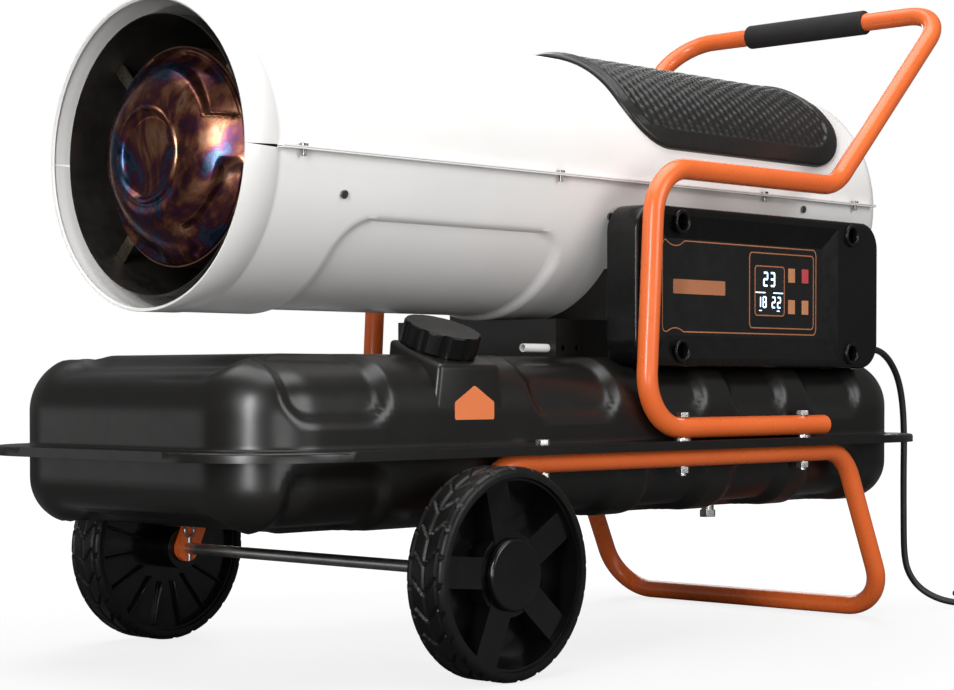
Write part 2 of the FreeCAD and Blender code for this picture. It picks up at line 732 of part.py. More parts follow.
def riser():
    """Folded sheet box that carries the barrel on the tank, with an upright saddle plate."""
    outer = block(-RISER_HALF_W, RISER_HALF_W, RISER_FRONT, RISER_REAR, TANK_TOP, RISER_TOP)
    inner = block(RISER_T - RISER_HALF_W, RISER_HALF_W - RISER_T, RISER_FRONT + RISER_T, RISER_REAR - RISER_T,
                  TANK_TOP, RISER_TOP - RISER_T)
    saddle = block(-RISER_HALF_W, RISER_HALF_W, SADDLE_Y, SADDLE_Y + RISER_T, RISER_TOP - RISER_T,
                   RISER_TOP + SADDLE_H)
    saddle = saddle.cut(on_axis(BARREL_R + SEAT_GAP, BARREL_FRONT, BARREL_REAR))
    box = fused([outer.cut(inner), saddle])
    wall = [V(RISER_HALF_W - 2 * RISER_T, 0, TANK_TOP + VENT_RISE), V(RISER_HALF_W, 0, TANK_TOP + VENT_RISE)]
    for y in RISER_HOLE_YS:
        box = box.cut(rod(wall[0] + V(0, y, 0), wall[1] + V(0, y, 0), RISER_HOLE_R))
    vent = V(VENT_X, RISER_FRONT, TANK_TOP + VENT_RISE)
    box = box.cut(rod(vent, vent + V(0, RISER_T, 0), VENT_R + RUN_GAP))
    return box.cut(fuel_line_hole(TANK_TOP, RISER_TOP))


def vent_tube():
    """Short plastic breather stub in the riser's front wall."""
    start = V(VENT_X, RISER_FRONT + RISER_T, TANK_TOP + VENT_RISE)
    end = V(VENT_X, RISER_FRONT - VENT_LEN, TANK_TOP + VENT_RISE)
    return rod(start, end, VENT_R).cut(rod(start, end, VENT_R - VENT_WALL))


def half_shell(profile, side):
    """Upper (side +1) or lower (side -1) half of a turned barrel profile."""
    shell = turned(profile, 180.0)
    if abs(side - 1) > 1e-6:
        shell = about_axis(shell, 180.0)
    return shell


def sector(outer, inner, y0, y1, start, sweep):
    """Part of a ring on the barrel axis, from an angle above +X."""
    return about_axis(turned([(inner, y0), (outer, y0), (outer, y1), (inner, y1)], sweep), start)


def barrel_profile():
    """Section of the sheet shell: proud mouth collar, straight wall and rounded rear edge."""
    collar_r = BARREL_R + COLLAR_PROUD
    collar_y = BARREL_FRONT + COLLAR_LEN
    outer = [(collar_r, BARREL_FRONT), (collar_r, collar_y), (BARREL_R, collar_y),
             (BARREL_R, BARREL_REAR - REAR_ROUND_R)]
    inner = []
    steps = 6
    for k in range(1, steps + 1):
        angle = math.radians(90.0 * k / steps)
        out_r = BARREL_R - REAR_ROUND_R + REAR_ROUND_R * math.cos(angle)
        out_y = BARREL_REAR - REAR_ROUND_R + REAR_ROUND_R * math.sin(angle)
        outer.append((out_r, out_y))
    lip_r = BARREL_R - REAR_ROUND_R - REAR_LIP
    outer.append((lip_r, BARREL_REAR))
    inner.append((lip_r, BARREL_REAR - SHELL_T))
    small_r = REAR_ROUND_R - SHELL_T
    for k in range(steps, -1, -1):
        angle = math.radians(90.0 * k / steps)
        in_r = BARREL_R - REAR_ROUND_R + small_r * math.cos(angle)
        in_y = BARREL_REAR - REAR_ROUND_R + small_r * math.sin(angle)
        inner.append((in_r, in_y))
    inner.append((SHELL_IN_R, BARREL_FRONT))
    return outer + inner


def barrel_half(side, panel_ys, edge):
    """One half shell with its seam flange, pressed panel, rear slots and screw holes."""
    shell = half_shell(barrel_profile(), side)
    y0, y1 = panel_ys
    start = edge if side > 0 else 180.0 + edge
    sweep = 180.0 - 2 * edge
    wall_turn = math.degrees(SHELL_T / BARREL_R)
    opening = sector(BARREL_R + SHELL_T, SHELL_IN_R - SHELL_T, y0, y1, start, sweep)
    floor_r = BARREL_R - PANEL_DEPTH
    tray = sector(BARREL_R, floor_r - SHELL_T, y0, y1, start, sweep)
    hollow = sector(BARREL_R + SHELL_T, floor_r, y0 + SHELL_T, y1 - SHELL_T, start + wall_turn,
                    sweep - 2 * wall_turn)
    seam_z = (BARREL_Z, BARREL_Z + SEAM_T) if side > 0 else (BARREL_Z - SEAM_T, BARREL_Z)
    seam = block(BARREL_R - SHELL_T / 2, BARREL_R + SEAM_OUT, BARREL_FRONT + COLLAR_LEN,
                 BARREL_REAR - REAR_ROUND_R, *seam_z)
    half = fused([shell.cut(opening), tray.cut(hollow)] + both_sides(seam))
    half = cut_all(half, rear_slots(side))
    for x, y in seam_places():
        half = half.cut(rod(V(x, y, BARREL_Z - SEAM_T), V(x, y, BARREL_Z + SEAM_T), SCREW_R + HOLE_GAP))
    return half


def rear_slots(side):
    """Radial vent slots through the rounded rear edge of one half."""
    tools = []
    for k in range(REAR_SLOTS // 2):
        angle = (k + 0.5) * 360.0 / REAR_SLOTS
        radius = BARREL_R - REAR_ROUND_R / 2
        tool = block(radius - REAR_SLOT_W / 2, BARREL_R + SHELL_T, BARREL_REAR - REAR_ROUND_R * 0.9,
                     BARREL_REAR - REAR_ROUND_R * 0.2, BARREL_Z - REAR_SLOT_LEN / 2, BARREL_Z + REAR_SLOT_LEN / 2)
        tools.append(about_axis(tool, angle if side > 0 else 180.0 + angle))
    return tools


def seam_places():
    """Where screws cross the seam flanges."""
    middle = BARREL_R + SEAM_OUT / 2
    return [(side * middle, y) for side in (1, -1) for y in SEAM_SCREW_YS]


def seam_screws():
    """Small screws through both seam flanges."""
    screws = []
    for x, y in seam_places():
        top = BARREL_Z + SEAM_T
        shank = rod(V(x, y, BARREL_Z - SEAM_T - SCREW_TAIL), V(x, y, top), SCREW_R)
        screws.append(fused([shank, rod(V(x, y, top), V(x, y, top + SCREW_HEAD_H), SCREW_HEAD_R)]))
    return screws


def shell_screw_bar(radius, r0, r1, y, angle):
    """Radial bar through the barrel wall."""
    return about_axis(rod(V(r0, y, BARREL_Z), V(r1, y, BARREL_Z), radius), angle)


def lower_shell():
    """Lower barrel half, drilled for side screws and the fuel line."""
    half = barrel_half(-1, LOWER_PANEL_YS, LOWER_PANEL_ANGLE)
    for y, angle in zip(SHELL_SCREW_YS, SHELL_SCREW_ANGLES):
        hole = shell_screw_bar(SCREW_R + HOLE_GAP, SHELL_IN_R - SHELL_T, BARREL_R + SHELL_T, y, angle)
        half = cut_all(half, both_sides(hole))
    return half.cut(fuel_line_hole(RISER_TOP - RISER_T, BARREL_Z))


def shell_screws():
    """Pan head screws in the sides of the lower half."""
    screws = []
    for y, angle in zip(SHELL_SCREW_YS, SHELL_SCREW_ANGLES):
        shank = shell_screw_bar(SCREW_R, SHELL_IN_R - SCREW_TAIL, BARREL_R + SEAT_GAP, y, angle)
        head = shell_screw_bar(SCREW_HEAD_R, BARREL_R + SEAT_GAP, BARREL_R + SEAT_GAP + SCREW_HEAD_H, y, angle)
        screws.extend(both_sides(fused([shank, head])))
    return screws


def stand_offs(inner, outer, y):
    """Four tabs that hold one round piece inside another."""
    tab = block(inner, outer + TAB_W, y, y + TAB_LEN, BARREL_Z - TAB_W / 2, BARREL_Z + TAB_W / 2)
    keep = ring_on_axis(outer, inner, y, y + TAB_LEN)
    return [about_axis(tab, angle).common(keep) for angle in CLIP_ANGLES]


def air_liner():
    """Inner sleeve that keeps cool air along the barrel wall."""
    sleeve = ring_on_axis(LINER_R, LINER_R - LINER_T, LINER_FRONT, LINER_FRONT + LINER_LEN)
    seat = BARREL_R - PANEL_DEPTH - SHELL_T - SEAT_GAP
    tabs = stand_offs(LINER_R - LINER_T / 2, seat, LOWER_PANEL_YS[0] + TAB_LEN * 2)
    tabs += stand_offs(LINER_R - LINER_T / 2, seat, UPPER_PANEL_YS[1] - TAB_LEN * 2)
    return fused([sleeve] + tabs)


def combustion_drum():
    """Combustion chamber: a drum with a closed rear wall and a burner hole."""
    drum = on_axis(DRUM_R, DRUM_FRONT, DRUM_REAR)
    drum = drum.cut(on_axis(DRUM_R - DRUM_T, DRUM_FRONT, DRUM_REAR - DRUM_T))
    return drum.cut(on_axis(BURNER_TUBE_R + SEAT_GAP, DRUM_FRONT, DRUM_REAR))


def drum_clips():
    """Spring clips that hang the drum in the liner, front and rear."""
    clips = []
    seat_out = LINER_R - LINER_T - SEAT_GAP
    seat_in = DRUM_R + SEAT_GAP
    rear_y = LINER_FRONT + LINER_LEN - 2 * CLIP_LEN
    for y in (DRUM_FRONT + CLIP_T, rear_y):
        web = block(seat_in, seat_out + CLIP_W, y, y + CLIP_T, BARREL_Z - CLIP_W / 2, BARREL_Z + CLIP_W / 2)
        foot = block(seat_in, seat_in + CLIP_T, y, y + CLIP_LEN, BARREL_Z - CLIP_W / 2, BARREL_Z + CLIP_W / 2)
        clip = fused([web, foot]).common(ring_on_axis(seat_out, seat_in, y, y + CLIP_LEN))
        clips += [about_axis(clip, angle) for angle in CLIP_ANGLES]
    return clips


def flame_dome():
    """Dished heat shield with a stepped centre button, seated on the drum's mouth."""
    rim_y = DRUM_FRONT
    steps = 8
    front = []
    for k in range(steps + 1):
        share = k / steps
        radius = DOME_R + (DOME_BUTTON_R - DOME_R) * share
        front.append((radius, rim_y - DOME_T - DOME_RISE * math.sin(share * math.pi / 2)))
    top_y = front[-1][1]
    front.append((DOME_BUTTON_R, top_y - DOME_BUTTON_H))
    front.append((0, top_y - DOME_BUTTON_H))
    back = [(0, top_y - DOME_BUTTON_H + DOME_T)]
    back.append((DOME_BUTTON_R - DOME_T, top_y - DOME_BUTTON_H + DOME_T))
    for k in range(steps, -1, -1):
        share = k / steps
        radius = DOME_R - DOME_T + (DOME_BUTTON_R - DOME_R) * share
        back.append((radius, rim_y - DOME_RISE * math.sin(share * math.pi / 2) + DOME_T * share))
    dome = turned(front + back)
    return fused([dome, ring_on_axis(DRUM_R, DOME_R - 2 * DOME_T, rim_y - DOME_T, rim_y)])


def burner_body():
    """Burner block with the flame tube that enters the drum."""
    body = block(-BURNER_HALF, BURNER_HALF, BURNER_FRONT, BURNER_REAR, BARREL_Z - BURNER_HALF,
                 BARREL_Z + BURNER_HALF)
    tube = ring_on_axis(BURNER_TUBE_R, BURNER_TUBE_R - DRUM_T, BURNER_FRONT - BURNER_TUBE_LEN, BURNER_FRONT)
    nozzle = Part.makeCone(BURNER_TUBE_R / 2, BURNER_TUBE_R / 6, BURNER_TUBE_LEN, V(0, BURNER_FRONT, BARREL_Z),
                           V(0, -1, 0))
    return fused([body, tube, nozzle])


def electrodes():
    """Two spark rods in front of the burner block, above the nozzle."""
    rods = []
    z = BARREL_Z + BURNER_TUBE_R * 0.62
    for x in (ELECTRODE_X, -ELECTRODE_X):
        rods.append(rod(V(x, BURNER_FRONT, z), V(x, BURNER_FRONT - ELECTRODE_LEN, z), ELECTRODE_R))
    return rods


def motor():
    """Motor body with a bore for its shaft."""
    body = on_axis(MOTOR_R, MOTOR_FRONT, MOTOR_REAR)
    body = body.makeFillet(TUBE_R / 2, [e for e in body.Edges if len(e.Vertexes) == 1])
    return body.cut(on_axis(SHAFT_R + RUN_GAP, MOTOR_FRONT, MOTOR_REAR))


def motor_bracket():
    """Clamp ring and three arms from the motor to the barrel wall."""
    y0 = (MOTOR_FRONT + MOTOR_REAR - BRACKET_W) / 2
    ring = ring_on_axis(MOTOR_R + SEAT_GAP + BRACKET_T, MOTOR_R + SEAT_GAP, y0, y0 + BRACKET_W)
    inner = MOTOR_R + SEAT_GAP + BRACKET_T / 2
    arm = block(inner, BARREL_R, y0, y0 + BRACKET_W, BARREL_Z - BRACKET_T / 2, BARREL_Z + BRACKET_T / 2)
    keep = ring_on_axis(SHELL_IN_R - SEAT_GAP, inner, y0, y0 + BRACKET_W)
    return fused([ring] + [about_axis(arm, angle).common(keep) for angle in BRACKET_ANGLES])


def fan():
    """Axial fan with pitched blades."""
    hub = on_axis(FAN_HUB_R, FAN_FRONT, FAN_FRONT + FAN_HUB_LEN)
    middle = FAN_FRONT + FAN_HUB_LEN / 2
    pieces = [hub]
    for k in range(FAN_BLADES):
        blade = block(FAN_HUB_R * 0.7, FAN_R + FAN_BLADE_W, middle - FAN_BLADE_T / 2, middle + FAN_BLADE_T / 2,
                      BARREL_Z - FAN_BLADE_W / 2, BARREL_Z + FAN_BLADE_W / 2)
        blade.rotate(V(0, middle, BARREL_Z), X_AXIS, FAN_PITCH)
        blade = blade.common(on_axis(FAN_R, FAN_FRONT - FAN_BLADE_W, FAN_FRONT + FAN_BLADE_W))
        pieces.append(about_axis(blade, k * 360.0 / FAN_BLADES))
    return fused(pieces).cut(on_axis(SHAFT_R + RUN_GAP, FAN_FRONT, FAN_FRONT + FAN_HUB_LEN))


def fan_shaft():
    """Shaft through fan, motor and pump, with a collar that holds the fan."""
    shaft = on_axis(SHAFT_R, FAN_FRONT - SPACER_T, PUMP_REAR - END_PLAY)
    return fused([shaft, on_axis(SHAFT_R * 1.6, FAN_FRONT - SPACER_T, FAN_FRONT)])


def pump_body():
    """Ring housing of the vane air pump."""
    return ring_on_axis(PUMP_R, PUMP_BORE_R, MOTOR_REAR, PUMP_REAR)


def pump_rotor():
    """Carbon rotor in the pump housing."""
    y0 = MOTOR_REAR + END_PLAY
    y1 = PUMP_REAR - END_PLAY
    rotor = on_axis(PUMP_BORE_R - RUN_GAP, y0, y1)
    return rotor.cut(on_axis(SHAFT_R + RUN_GAP, y0, y1))


def pump_cover():
    """End cover of the pump, with its air filter space."""
    cover = on_axis(PUMP_R, PUMP_REAR, PUMP_REAR + PUMP_COVER_T)
    rim = [e for e in cover.Edges if len(e.Vertexes) == 1 and e.Vertexes[0].Y > PUMP_REAR + 1e-6]
    return cover.makeFillet(PUMP_COVER_T / 4, rim)


def pressure_gauge():
    """Round gauge on the pump cover, facing the rear guard."""
    y0 = PUMP_REAR + PUMP_COVER_T
    centre = V(0, y0, BARREL_Z + GAUGE_OFFSET)
    dial = rod(centre, centre + V(0, GAUGE_LEN, 0), GAUGE_R)
    return dial.makeFillet(GAUGE_LEN / 8, [e for e in dial.Edges if len(e.Vertexes) == 1 and
                                           e.Vertexes[0].Y > y0 + 1e-6])


def air_pipe():
    """Air line from the pump to the burner, outside the fan's sweep."""
    lane = (FAN_R + SHELL_IN_R) / 2 * math.sin(math.radians(45.0))
    pump_y = (MOTOR_REAR + PUMP_REAR) / 2
    burner_y = (BURNER_FRONT + BURNER_REAR) / 2
    points = [V(-PUMP_R - SEAT_GAP, pump_y, BARREL_Z), V(-lane, pump_y, BARREL_Z),
              V(-lane, pump_y, BARREL_Z - lane), V(-lane, burner_y, BARREL_Z - lane),
              V(-lane, burner_y, BARREL_Z), V(-BURNER_HALF - SEAT_GAP, burner_y, BARREL_Z)]
    return swept(bent_path(points, [PIPE_BEND_R] * 4), PIPE_R)


def fuel_line():
    """Upright suction line from the tank floor to the burner block."""
    y = (BURNER_FRONT + BURNER_REAR) / 2
    return rod(V(0, y, TANK_BOTTOM + TANK_T + FUEL_LINE_LIFT), V(0, y, BARREL_Z - BURNER_HALF), FUEL_LINE_R)


def rear_guard():
    """Flat stamped finger guard behind the fan, inside the rear lip."""
    y1 = BARREL_REAR - SHELL_T
    y0 = y1 - GUARD_T
    rim_r = BARREL_R - REAR_ROUND_R
    pieces = [ring_on_axis(rim_r, rim_r - GUARD_RIM_W, y0, y1)]
    ring_step = (rim_r - GUARD_RIM_W / 2 - GUARD_EYE_R) / GUARD_RINGS
    for k in range(GUARD_RINGS):
        radius = GUARD_EYE_R + k * ring_step
        pieces.append(ring_on_axis(radius + GUARD_RING_W / 2, radius - GUARD_RING_W / 2, y0, y1))
    for k in range(GUARD_BARS):
        bar = block(GUARD_EYE_R, rim_r - GUARD_RIM_W / 2, y0, y1, BARREL_Z - GUARD_BAR_W / 2,
                    BARREL_Z + GUARD_BAR_W / 2)
        pieces.append(about_axis(bar, k * 360.0 / GUARD_BARS))
    return fused(pieces)


def box_form(inset):
    """Rear half as a solid: an upright box and the low foot that reaches the riser."""
    upright = rounded_block(BOX_BACK_X + inset, BOX_SPLIT_X, BOX_FRONT_Y + inset, BOX_REAR_Y - inset,
                            BOX_LOW + inset, BOX_HIGH - inset, X_AXIS, BOX_CORNER_R - inset)
    x0 = RISER_HALF_W + inset
    x1 = BOX_SPLIT_X - BOX_WALL
    front = SADDLE_Y + RISER_T + inset
    low = BOX_LOW + inset
    high = BOX_LOW + BOX_FOOT_H - inset
    foot = rounded_block(x0, x1, front, BOX_REAR_Y - inset, low, high, X_AXIS, BOX_CORNER_R - inset)
    toe = block(x0, x1, front, front + 2 * BOX_CORNER_R, low, high)
    return fused([upright, foot, toe])


def box_rear():
    """Rear half of the control box, shaped round the barrel."""
    outer = box_form(0.0)
    inner = box_form(BOX_WALL)
    wide = on_axis(BARREL_R + BOX_BARREL_GAP, BARREL_FRONT, BARREL_REAR)
    wider = on_axis(BARREL_R + BOX_BARREL_GAP + BOX_WALL, BARREL_FRONT, BARREL_REAR)
    ledge = block(0, RISER_HALF_W + RISER_T + POCKET_GAP, BOX_FRONT_Y, BOX_REAR_Y, BOX_LOW, TANK_TOP)
    step = block(0, RISER_HALF_W + RISER_T + POCKET_GAP + BOX_WALL, BOX_FRONT_Y, BOX_REAR_Y, BOX_LOW,
                 TANK_TOP + BOX_WALL)
    half = cut_all(outer, [wide, ledge]).cut(cut_all(inner, [wider, step]))
    gland = rod(V(GLAND_X, BOX_REAR_Y - 2 * BOX_WALL, GLAND_Z), V(GLAND_X, BOX_REAR_Y, GLAND_Z), CORD_R + HOLE_GAP)
    half = half.cut(gland)
    post_x = BOX_SPLIT_X - POST_LEN
    for y, z in boss_places():
        post = rod(V(post_x, y, z), V(BOX_SPLIT_X, y, z), BOSS_WELL_R)
        wall_z = BOX_LOW if z < (BOX_LOW + BOX_HIGH) / 2 else BOX_HIGH
        rib = block(post_x, BOX_SPLIT_X, y - BOX_WALL / 2, y + BOX_WALL / 2, min(z, wall_z), max(z, wall_z))
        post = fused([post, rib]).common(outer).cut(wide)
        hole = rod(V(post_x, y, z), V(BOX_SPLIT_X, y, z), COVER_SCREW_R + HOLE_GAP)
        half = fused([half, post]).cut(hole)
    return half


def boss_places():
    """Screw bosses at the corners of the cover."""
    return [(y, z) for y in BOSS_YS for z in BOSS_ZS]


def key_block(y, z, x0, x1, grow):
    """Block of a push key, or of its hole when grown."""
    return block(x0, x1, y - KEY_W / 2 - grow, y + KEY_W / 2 + grow, z - KEY_H / 2 - grow, z + KEY_H / 2 + grow)


def display_block(x0, x1, grow):
    """Block of the display, or of its hole when grown."""
    return block(x0, x1, DISPLAY_Y - DISPLAY_W / 2 - grow, DISPLAY_Y + DISPLAY_W / 2 + grow,
                 DISPLAY_Z - DISPLAY_H / 2 - grow, DISPLAY_Z + DISPLAY_H / 2 + grow)


def field_block(x0, x1, grow):
    """Block of the sunk label field."""
    return block(x0, x1, FIELD_FRONT_Y - grow, FIELD_REAR_Y + grow, FIELD_LOW_Z - grow, FIELD_HIGH_Z + grow)


def sloped_field():
    """Wedge-sided tool that sinks the label field into the cover."""
    grow = FIELD_DEPTH * 4
    wires = []
    for x, out in ((FIELD_X, 0.0), (BOX_FACE_X, grow)):
        corners = [V(x, FIELD_FRONT_Y - out, FIELD_LOW_Z - out), V(x, FIELD_REAR_Y + out, FIELD_LOW_Z - out),
                   V(x, FIELD_REAR_Y + out, FIELD_HIGH_Z + out), V(x, FIELD_FRONT_Y - out, FIELD_HIGH_Z + out)]
        wires.append(Part.makePolygon(corners + corners[:1]))
    return Part.makeLoft(wires, True, True)


def box_cover():
    """Front cover with a sunk field, screw wells, display window and key holes."""
    outer = rounded_block(BOX_SPLIT_X, BOX_FACE_X, BOX_FRONT_Y, BOX_REAR_Y, BOX_LOW, BOX_HIGH, X_AXIS, BOX_CORNER_R)
    face_rim = [e for e in outer.Edges if all(abs(v.X - BOX_FACE_X) < 1e-6 for v in e.Vertexes)]
    outer = outer.makeFillet(BOX_EDGE_R, face_rim)
    inner = rounded_block(BOX_SPLIT_X, FIELD_X - PANEL_T - BOX_WALL, BOX_FRONT_Y + BOX_WALL, BOX_REAR_Y - BOX_WALL,
                          BOX_LOW + BOX_WALL, BOX_HIGH - BOX_WALL, X_AXIS, BOX_CORNER_R - BOX_WALL)
    cover = cut_all(outer, [sloped_field(), field_block(FIELD_X - PANEL_T, FIELD_X, 0.0), inner])
    back_x = FIELD_X - PANEL_T - BOX_WALL
    for y, z in boss_places():
        boss = rod(V(BOX_SPLIT_X, y, z), V(BOX_FACE_X, y, z), BOSS_R)
        well = rod(V(BOX_SPLIT_X + BOX_WALL, y, z), V(BOX_FACE_X, y, z), BOSS_WELL_R)
        hole = rod(V(BOX_SPLIT_X, y, z), V(BOX_FACE_X, y, z), COVER_SCREW_R + HOLE_GAP)
        cover = cut_all(fused([cover, boss]), [well, hole])
    cover = cover.cut(display_block(BOX_SPLIT_X, BOX_FACE_X, KEY_GAP))
    for name, y, z in KEYS:
        cover = cover.cut(key_block(y, z, BOX_SPLIT_X, BOX_FACE_X, KEY_GAP))
    posts = [rod(V(BOARD_X, y, z), V(back_x, y, z), BOSS_WELL_R / 2) for y, z in board_posts()]
    return fused([cover] + posts)


def board_edges():
    """Corners of the circuit board behind display and keys."""
    y0 = DISPLAY_Y - DISPLAY_W / 2 - BOARD_MARGIN * 2
    y1 = max(y for name, y, z in KEYS) + KEY_W / 2 + BOARD_MARGIN * 2
    z0 = DISPLAY_Z - DISPLAY_H / 2 - BOARD_MARGIN * 2
    z1 = DISPLAY_Z + DISPLAY_H / 2 + BOARD_MARGIN * 2
    return y0, y1, z0, z1


def board_posts():
    """Where the cover's posts hold the circuit board."""
    y0, y1, z0, z1 = board_edges()
    return [(y, z) for y in (y0 + BOARD_MARGIN, y1 - BOARD_MARGIN) for z in (z0 + BOARD_MARGIN, z1 - BOARD_MARGIN)]


def circuit_board():
    """Control board on the cover's posts."""
    y0, y1, z0, z1 = board_edges()
    return block(BOARD_X - BOARD_T, BOARD_X, y0, y1, z0, z1)


def cover_screws():
    """Socket screws down in the cover's wells."""
    screws = []
    seat = BOX_SPLIT_X + BOX_WALL
    for y, z in boss_places():
        shank = rod(V(BOX_SPLIT_X - POST_LEN / 2, y, z), V(seat, y, z), COVER_SCREW_R)
        head = rod(V(seat, y, z), V(seat + COVER_SCREW_HEAD_H, y, z), COVER_SCREW_HEAD_R)
        screws.append(fused([shank, head]))
    return screws


def label_panel():
    """Printed panel in the sunk field, open for display and keys."""
    panel = field_block(FIELD_X - PANEL_T, FIELD_X, 0.0)
    panel = panel.cut(display_block(FIELD_X - PANEL_T, FIELD_X, KEY_GAP))
    for name, y, z in KEYS:
        panel = panel.cut(key_block(y, z, FIELD_X - PANEL_T, FIELD_X, KEY_GAP))
    return panel


def display():
    """Display module from the board to the panel's face."""
    return display_block(BOARD_X, FIELD_X, 0.0)


def push_key(y, z):
    """Push key with a rear rim that keeps it in the cover."""
    cap = key_block(y, z, FIELD_X - PANEL_T - BOX_WALL - KEY_GAP, FIELD_X + KEY_PROUD, 0.0)
    back_x = FIELD_X - PANEL_T - BOX_WALL - KEY_GAP
    rim = key_block(y, z, back_x - KEY_RIM, back_x, KEY_RIM)
    return fused([cap, rim])


def ignition_transformer():
    """Ignition transformer on the box floor."""
    x1 = BOX_SPLIT_X - BOX_WALL
    return block(x1 - TRANSFORMER_W, x1, TRANSFORMER_Y, TRANSFORMER_Y + TRANSFORMER_LEN, BOX_LOW + BOX_WALL,
                 BOX_LOW + BOX_WALL + TRANSFORMER_H)


def cord_gland():
    """Nut and tapered sleeve where the lead leaves the box."""
    seat = V(GLAND_X, BOX_REAR_Y, GLAND_Z)
    shoulder = seat + V(0, GLAND_NUT_LEN, 0)
    nut = rod(seat, shoulder, GLAND_NUT_R)
    taper = Part.makeCone(GLAND_NUT_R * 0.75, GLAND_TIP_R, GLAND_TAPER_LEN, shoulder, Y_AXIS)
    return fused([nut, taper])


def top_pad():
    """Ribbed cover that follows the barrel's top, with a raised rim."""
    inner = BARREL_R + SEAT_GAP
    outer = inner + PAD_T
    start = 90.0 - PAD_ANGLE
    slab = sector(outer, inner, PAD_FRONT_Y, PAD_REAR_Y, start, 2 * PAD_ANGLE)
    slab = slab.common(pad_outline(0.0))
    field = sector(outer + PAD_T, outer - PAD_FIELD_DEPTH, PAD_FRONT_Y, PAD_REAR_Y,
                   start + math.degrees(PAD_RIM_W / outer), 2 * PAD_ANGLE - 2 * math.degrees(PAD_RIM_W / outer))
    return slab.cut(field.common(pad_outline(PAD_RIM_W)))


def pad_outline(inset):
    """Upright prism of the pad's plan: bowed front, straight sides, rounded rear corners."""
    half_w = BARREL_R + PAD_T * 2
    z0 = BARREL_Z
    z1 = BARREL_Z + BARREL_R + PAD_T * 4
    front = V(0, PAD_FRONT_Y + inset, z0)
    left = V(-half_w, PAD_SIDE_Y + inset, z0)
    right = V(half_w, PAD_SIDE_Y + inset, z0)
    rear_y = PAD_REAR_Y - inset
    edges = [Part.Arc(left, front, right).toShape(),
             Part.LineSegment(right, V(half_w, rear_y - PAD_CORNER_R, z0)).toShape(),
             Part.LineSegment(V(half_w, rear_y - PAD_CORNER_R, z0), V(half_w / 2, rear_y, z0)).toShape(),
             Part.LineSegment(V(half_w / 2, rear_y, z0), V(-half_w / 2, rear_y, z0)).toShape(),
             Part.LineSegment(V(-half_w / 2, rear_y, z0), V(-half_w, rear_y - PAD_CORNER_R, z0)).toShape(),
             Part.LineSegment(V(-half_w, rear_y - PAD_CORNER_R, z0), left).toShape()]
    return Part.Face(Part.Wire(edges)).extrude(V(0, 0, z1 - z0))


# The lead's free stretch: out of the gland, down behind the tank, then round to the floor
CORD_ROUTE = [V(GLAND_X, GLAND_END_Y, GLAND_Z), V(GLAND_X, 488, GLAND_Z), V(150, 514, 307), V(149, 537, 284),
              V(147, 551, 252), V(146, 556, 210), V(145, 556.5, 164), V(145, 557, 122), V(145, 557.5, 90),
              V(145.5, 558, 64), V(149.5, 559.5, 42.5), V(162.5, 564, 23), V(184, 572, 10)]


def coil_centre_line(turns):
    """Point of the wound coil after a number of turns from its outer end."""
    reverse = COIL_TURNS + 0.25
    radius = COIL_OUT_R - COIL_STEP * (reverse - abs(turns - reverse))
    climb = min(max((turns - COIL_TURNS) / 0.5, 0.0), 1.0)
    z = COIL_Z + COIL_STEP * climb * climb * (3 - 2 * climb)
    angle = math.radians(COIL_HEADING - 90.0) + 2 * math.pi * turns
    return V(COIL_X + radius * math.cos(angle), COIL_Y + radius * math.sin(angle), z)


def arc_from(start, heading, end):
    """Arc that leaves a point along a heading and ends at another point."""
    chord = end - start
    along = V(chord).normalize()
    aside = heading - along * heading.dot(along)
    lean = heading.getAngle(chord)
    middle = (start + end) * 0.5 + aside.normalize() * (chord.Length / 2 * math.tan(lean / 2))
    return Part.Arc(start, middle, end).toShape()


def biarc(start, heading, end, arrival):
    """Two tangent arcs between two points with given headings."""
    gap = end - start
    both = heading + arrival
    open_share = 2 * (1 - heading.dot(arrival))
    reach = (math.sqrt(gap.dot(both) ** 2 + open_share * gap.dot(gap)) - gap.dot(both)) / open_share
    joint = (start + heading * reach + end - arrival * reach) * 0.5
    middle_heading = (end - arrival * reach - start - heading * reach).normalize()
    return [arc_from(start, heading, joint), arc_from(joint, middle_heading, end)]


def coil_path():
    """Coil of the put-away length: in along the floor layer, out along the upper one."""
    count = int(round((2 * COIL_TURNS + 0.5) * 4))
    nudge = 1e-4
    places = [coil_centre_line(k / 4) for k in range(count + 1)]
    headings = [(coil_centre_line(k / 4 + nudge) - coil_centre_line(k / 4 - nudge)).normalize()
                for k in range(count + 1)]
    headings[0].z = 0
    headings[-1].z = 0
    edges = [Part.LineSegment(places[0] - headings[0] * COIL_STUB, places[0]).toShape()]
    for k in range(count):
        edges += biarc(places[k], headings[k], places[k + 1], headings[k + 1])
    edges.append(Part.LineSegment(places[-1], places[-1] + headings[-1] * COIL_LEAD).toShape())
    return Part.Wire(edges), headings[0], headings[-1]


def least_coil_gap():
    """Least distance between two turns of the coil, less the cord's diameter."""
    per_turn = 72
    count = int((2 * COIL_TURNS + 0.5) * per_turn)
    line = [coil_centre_line(k / per_turn) for k in range(count + 1)]
    least = min((line[i] - line[j]).Length for i in range(count + 1)
                for j in range(i + per_turn // 2, count + 1))
    return least - 2 * CORD_R


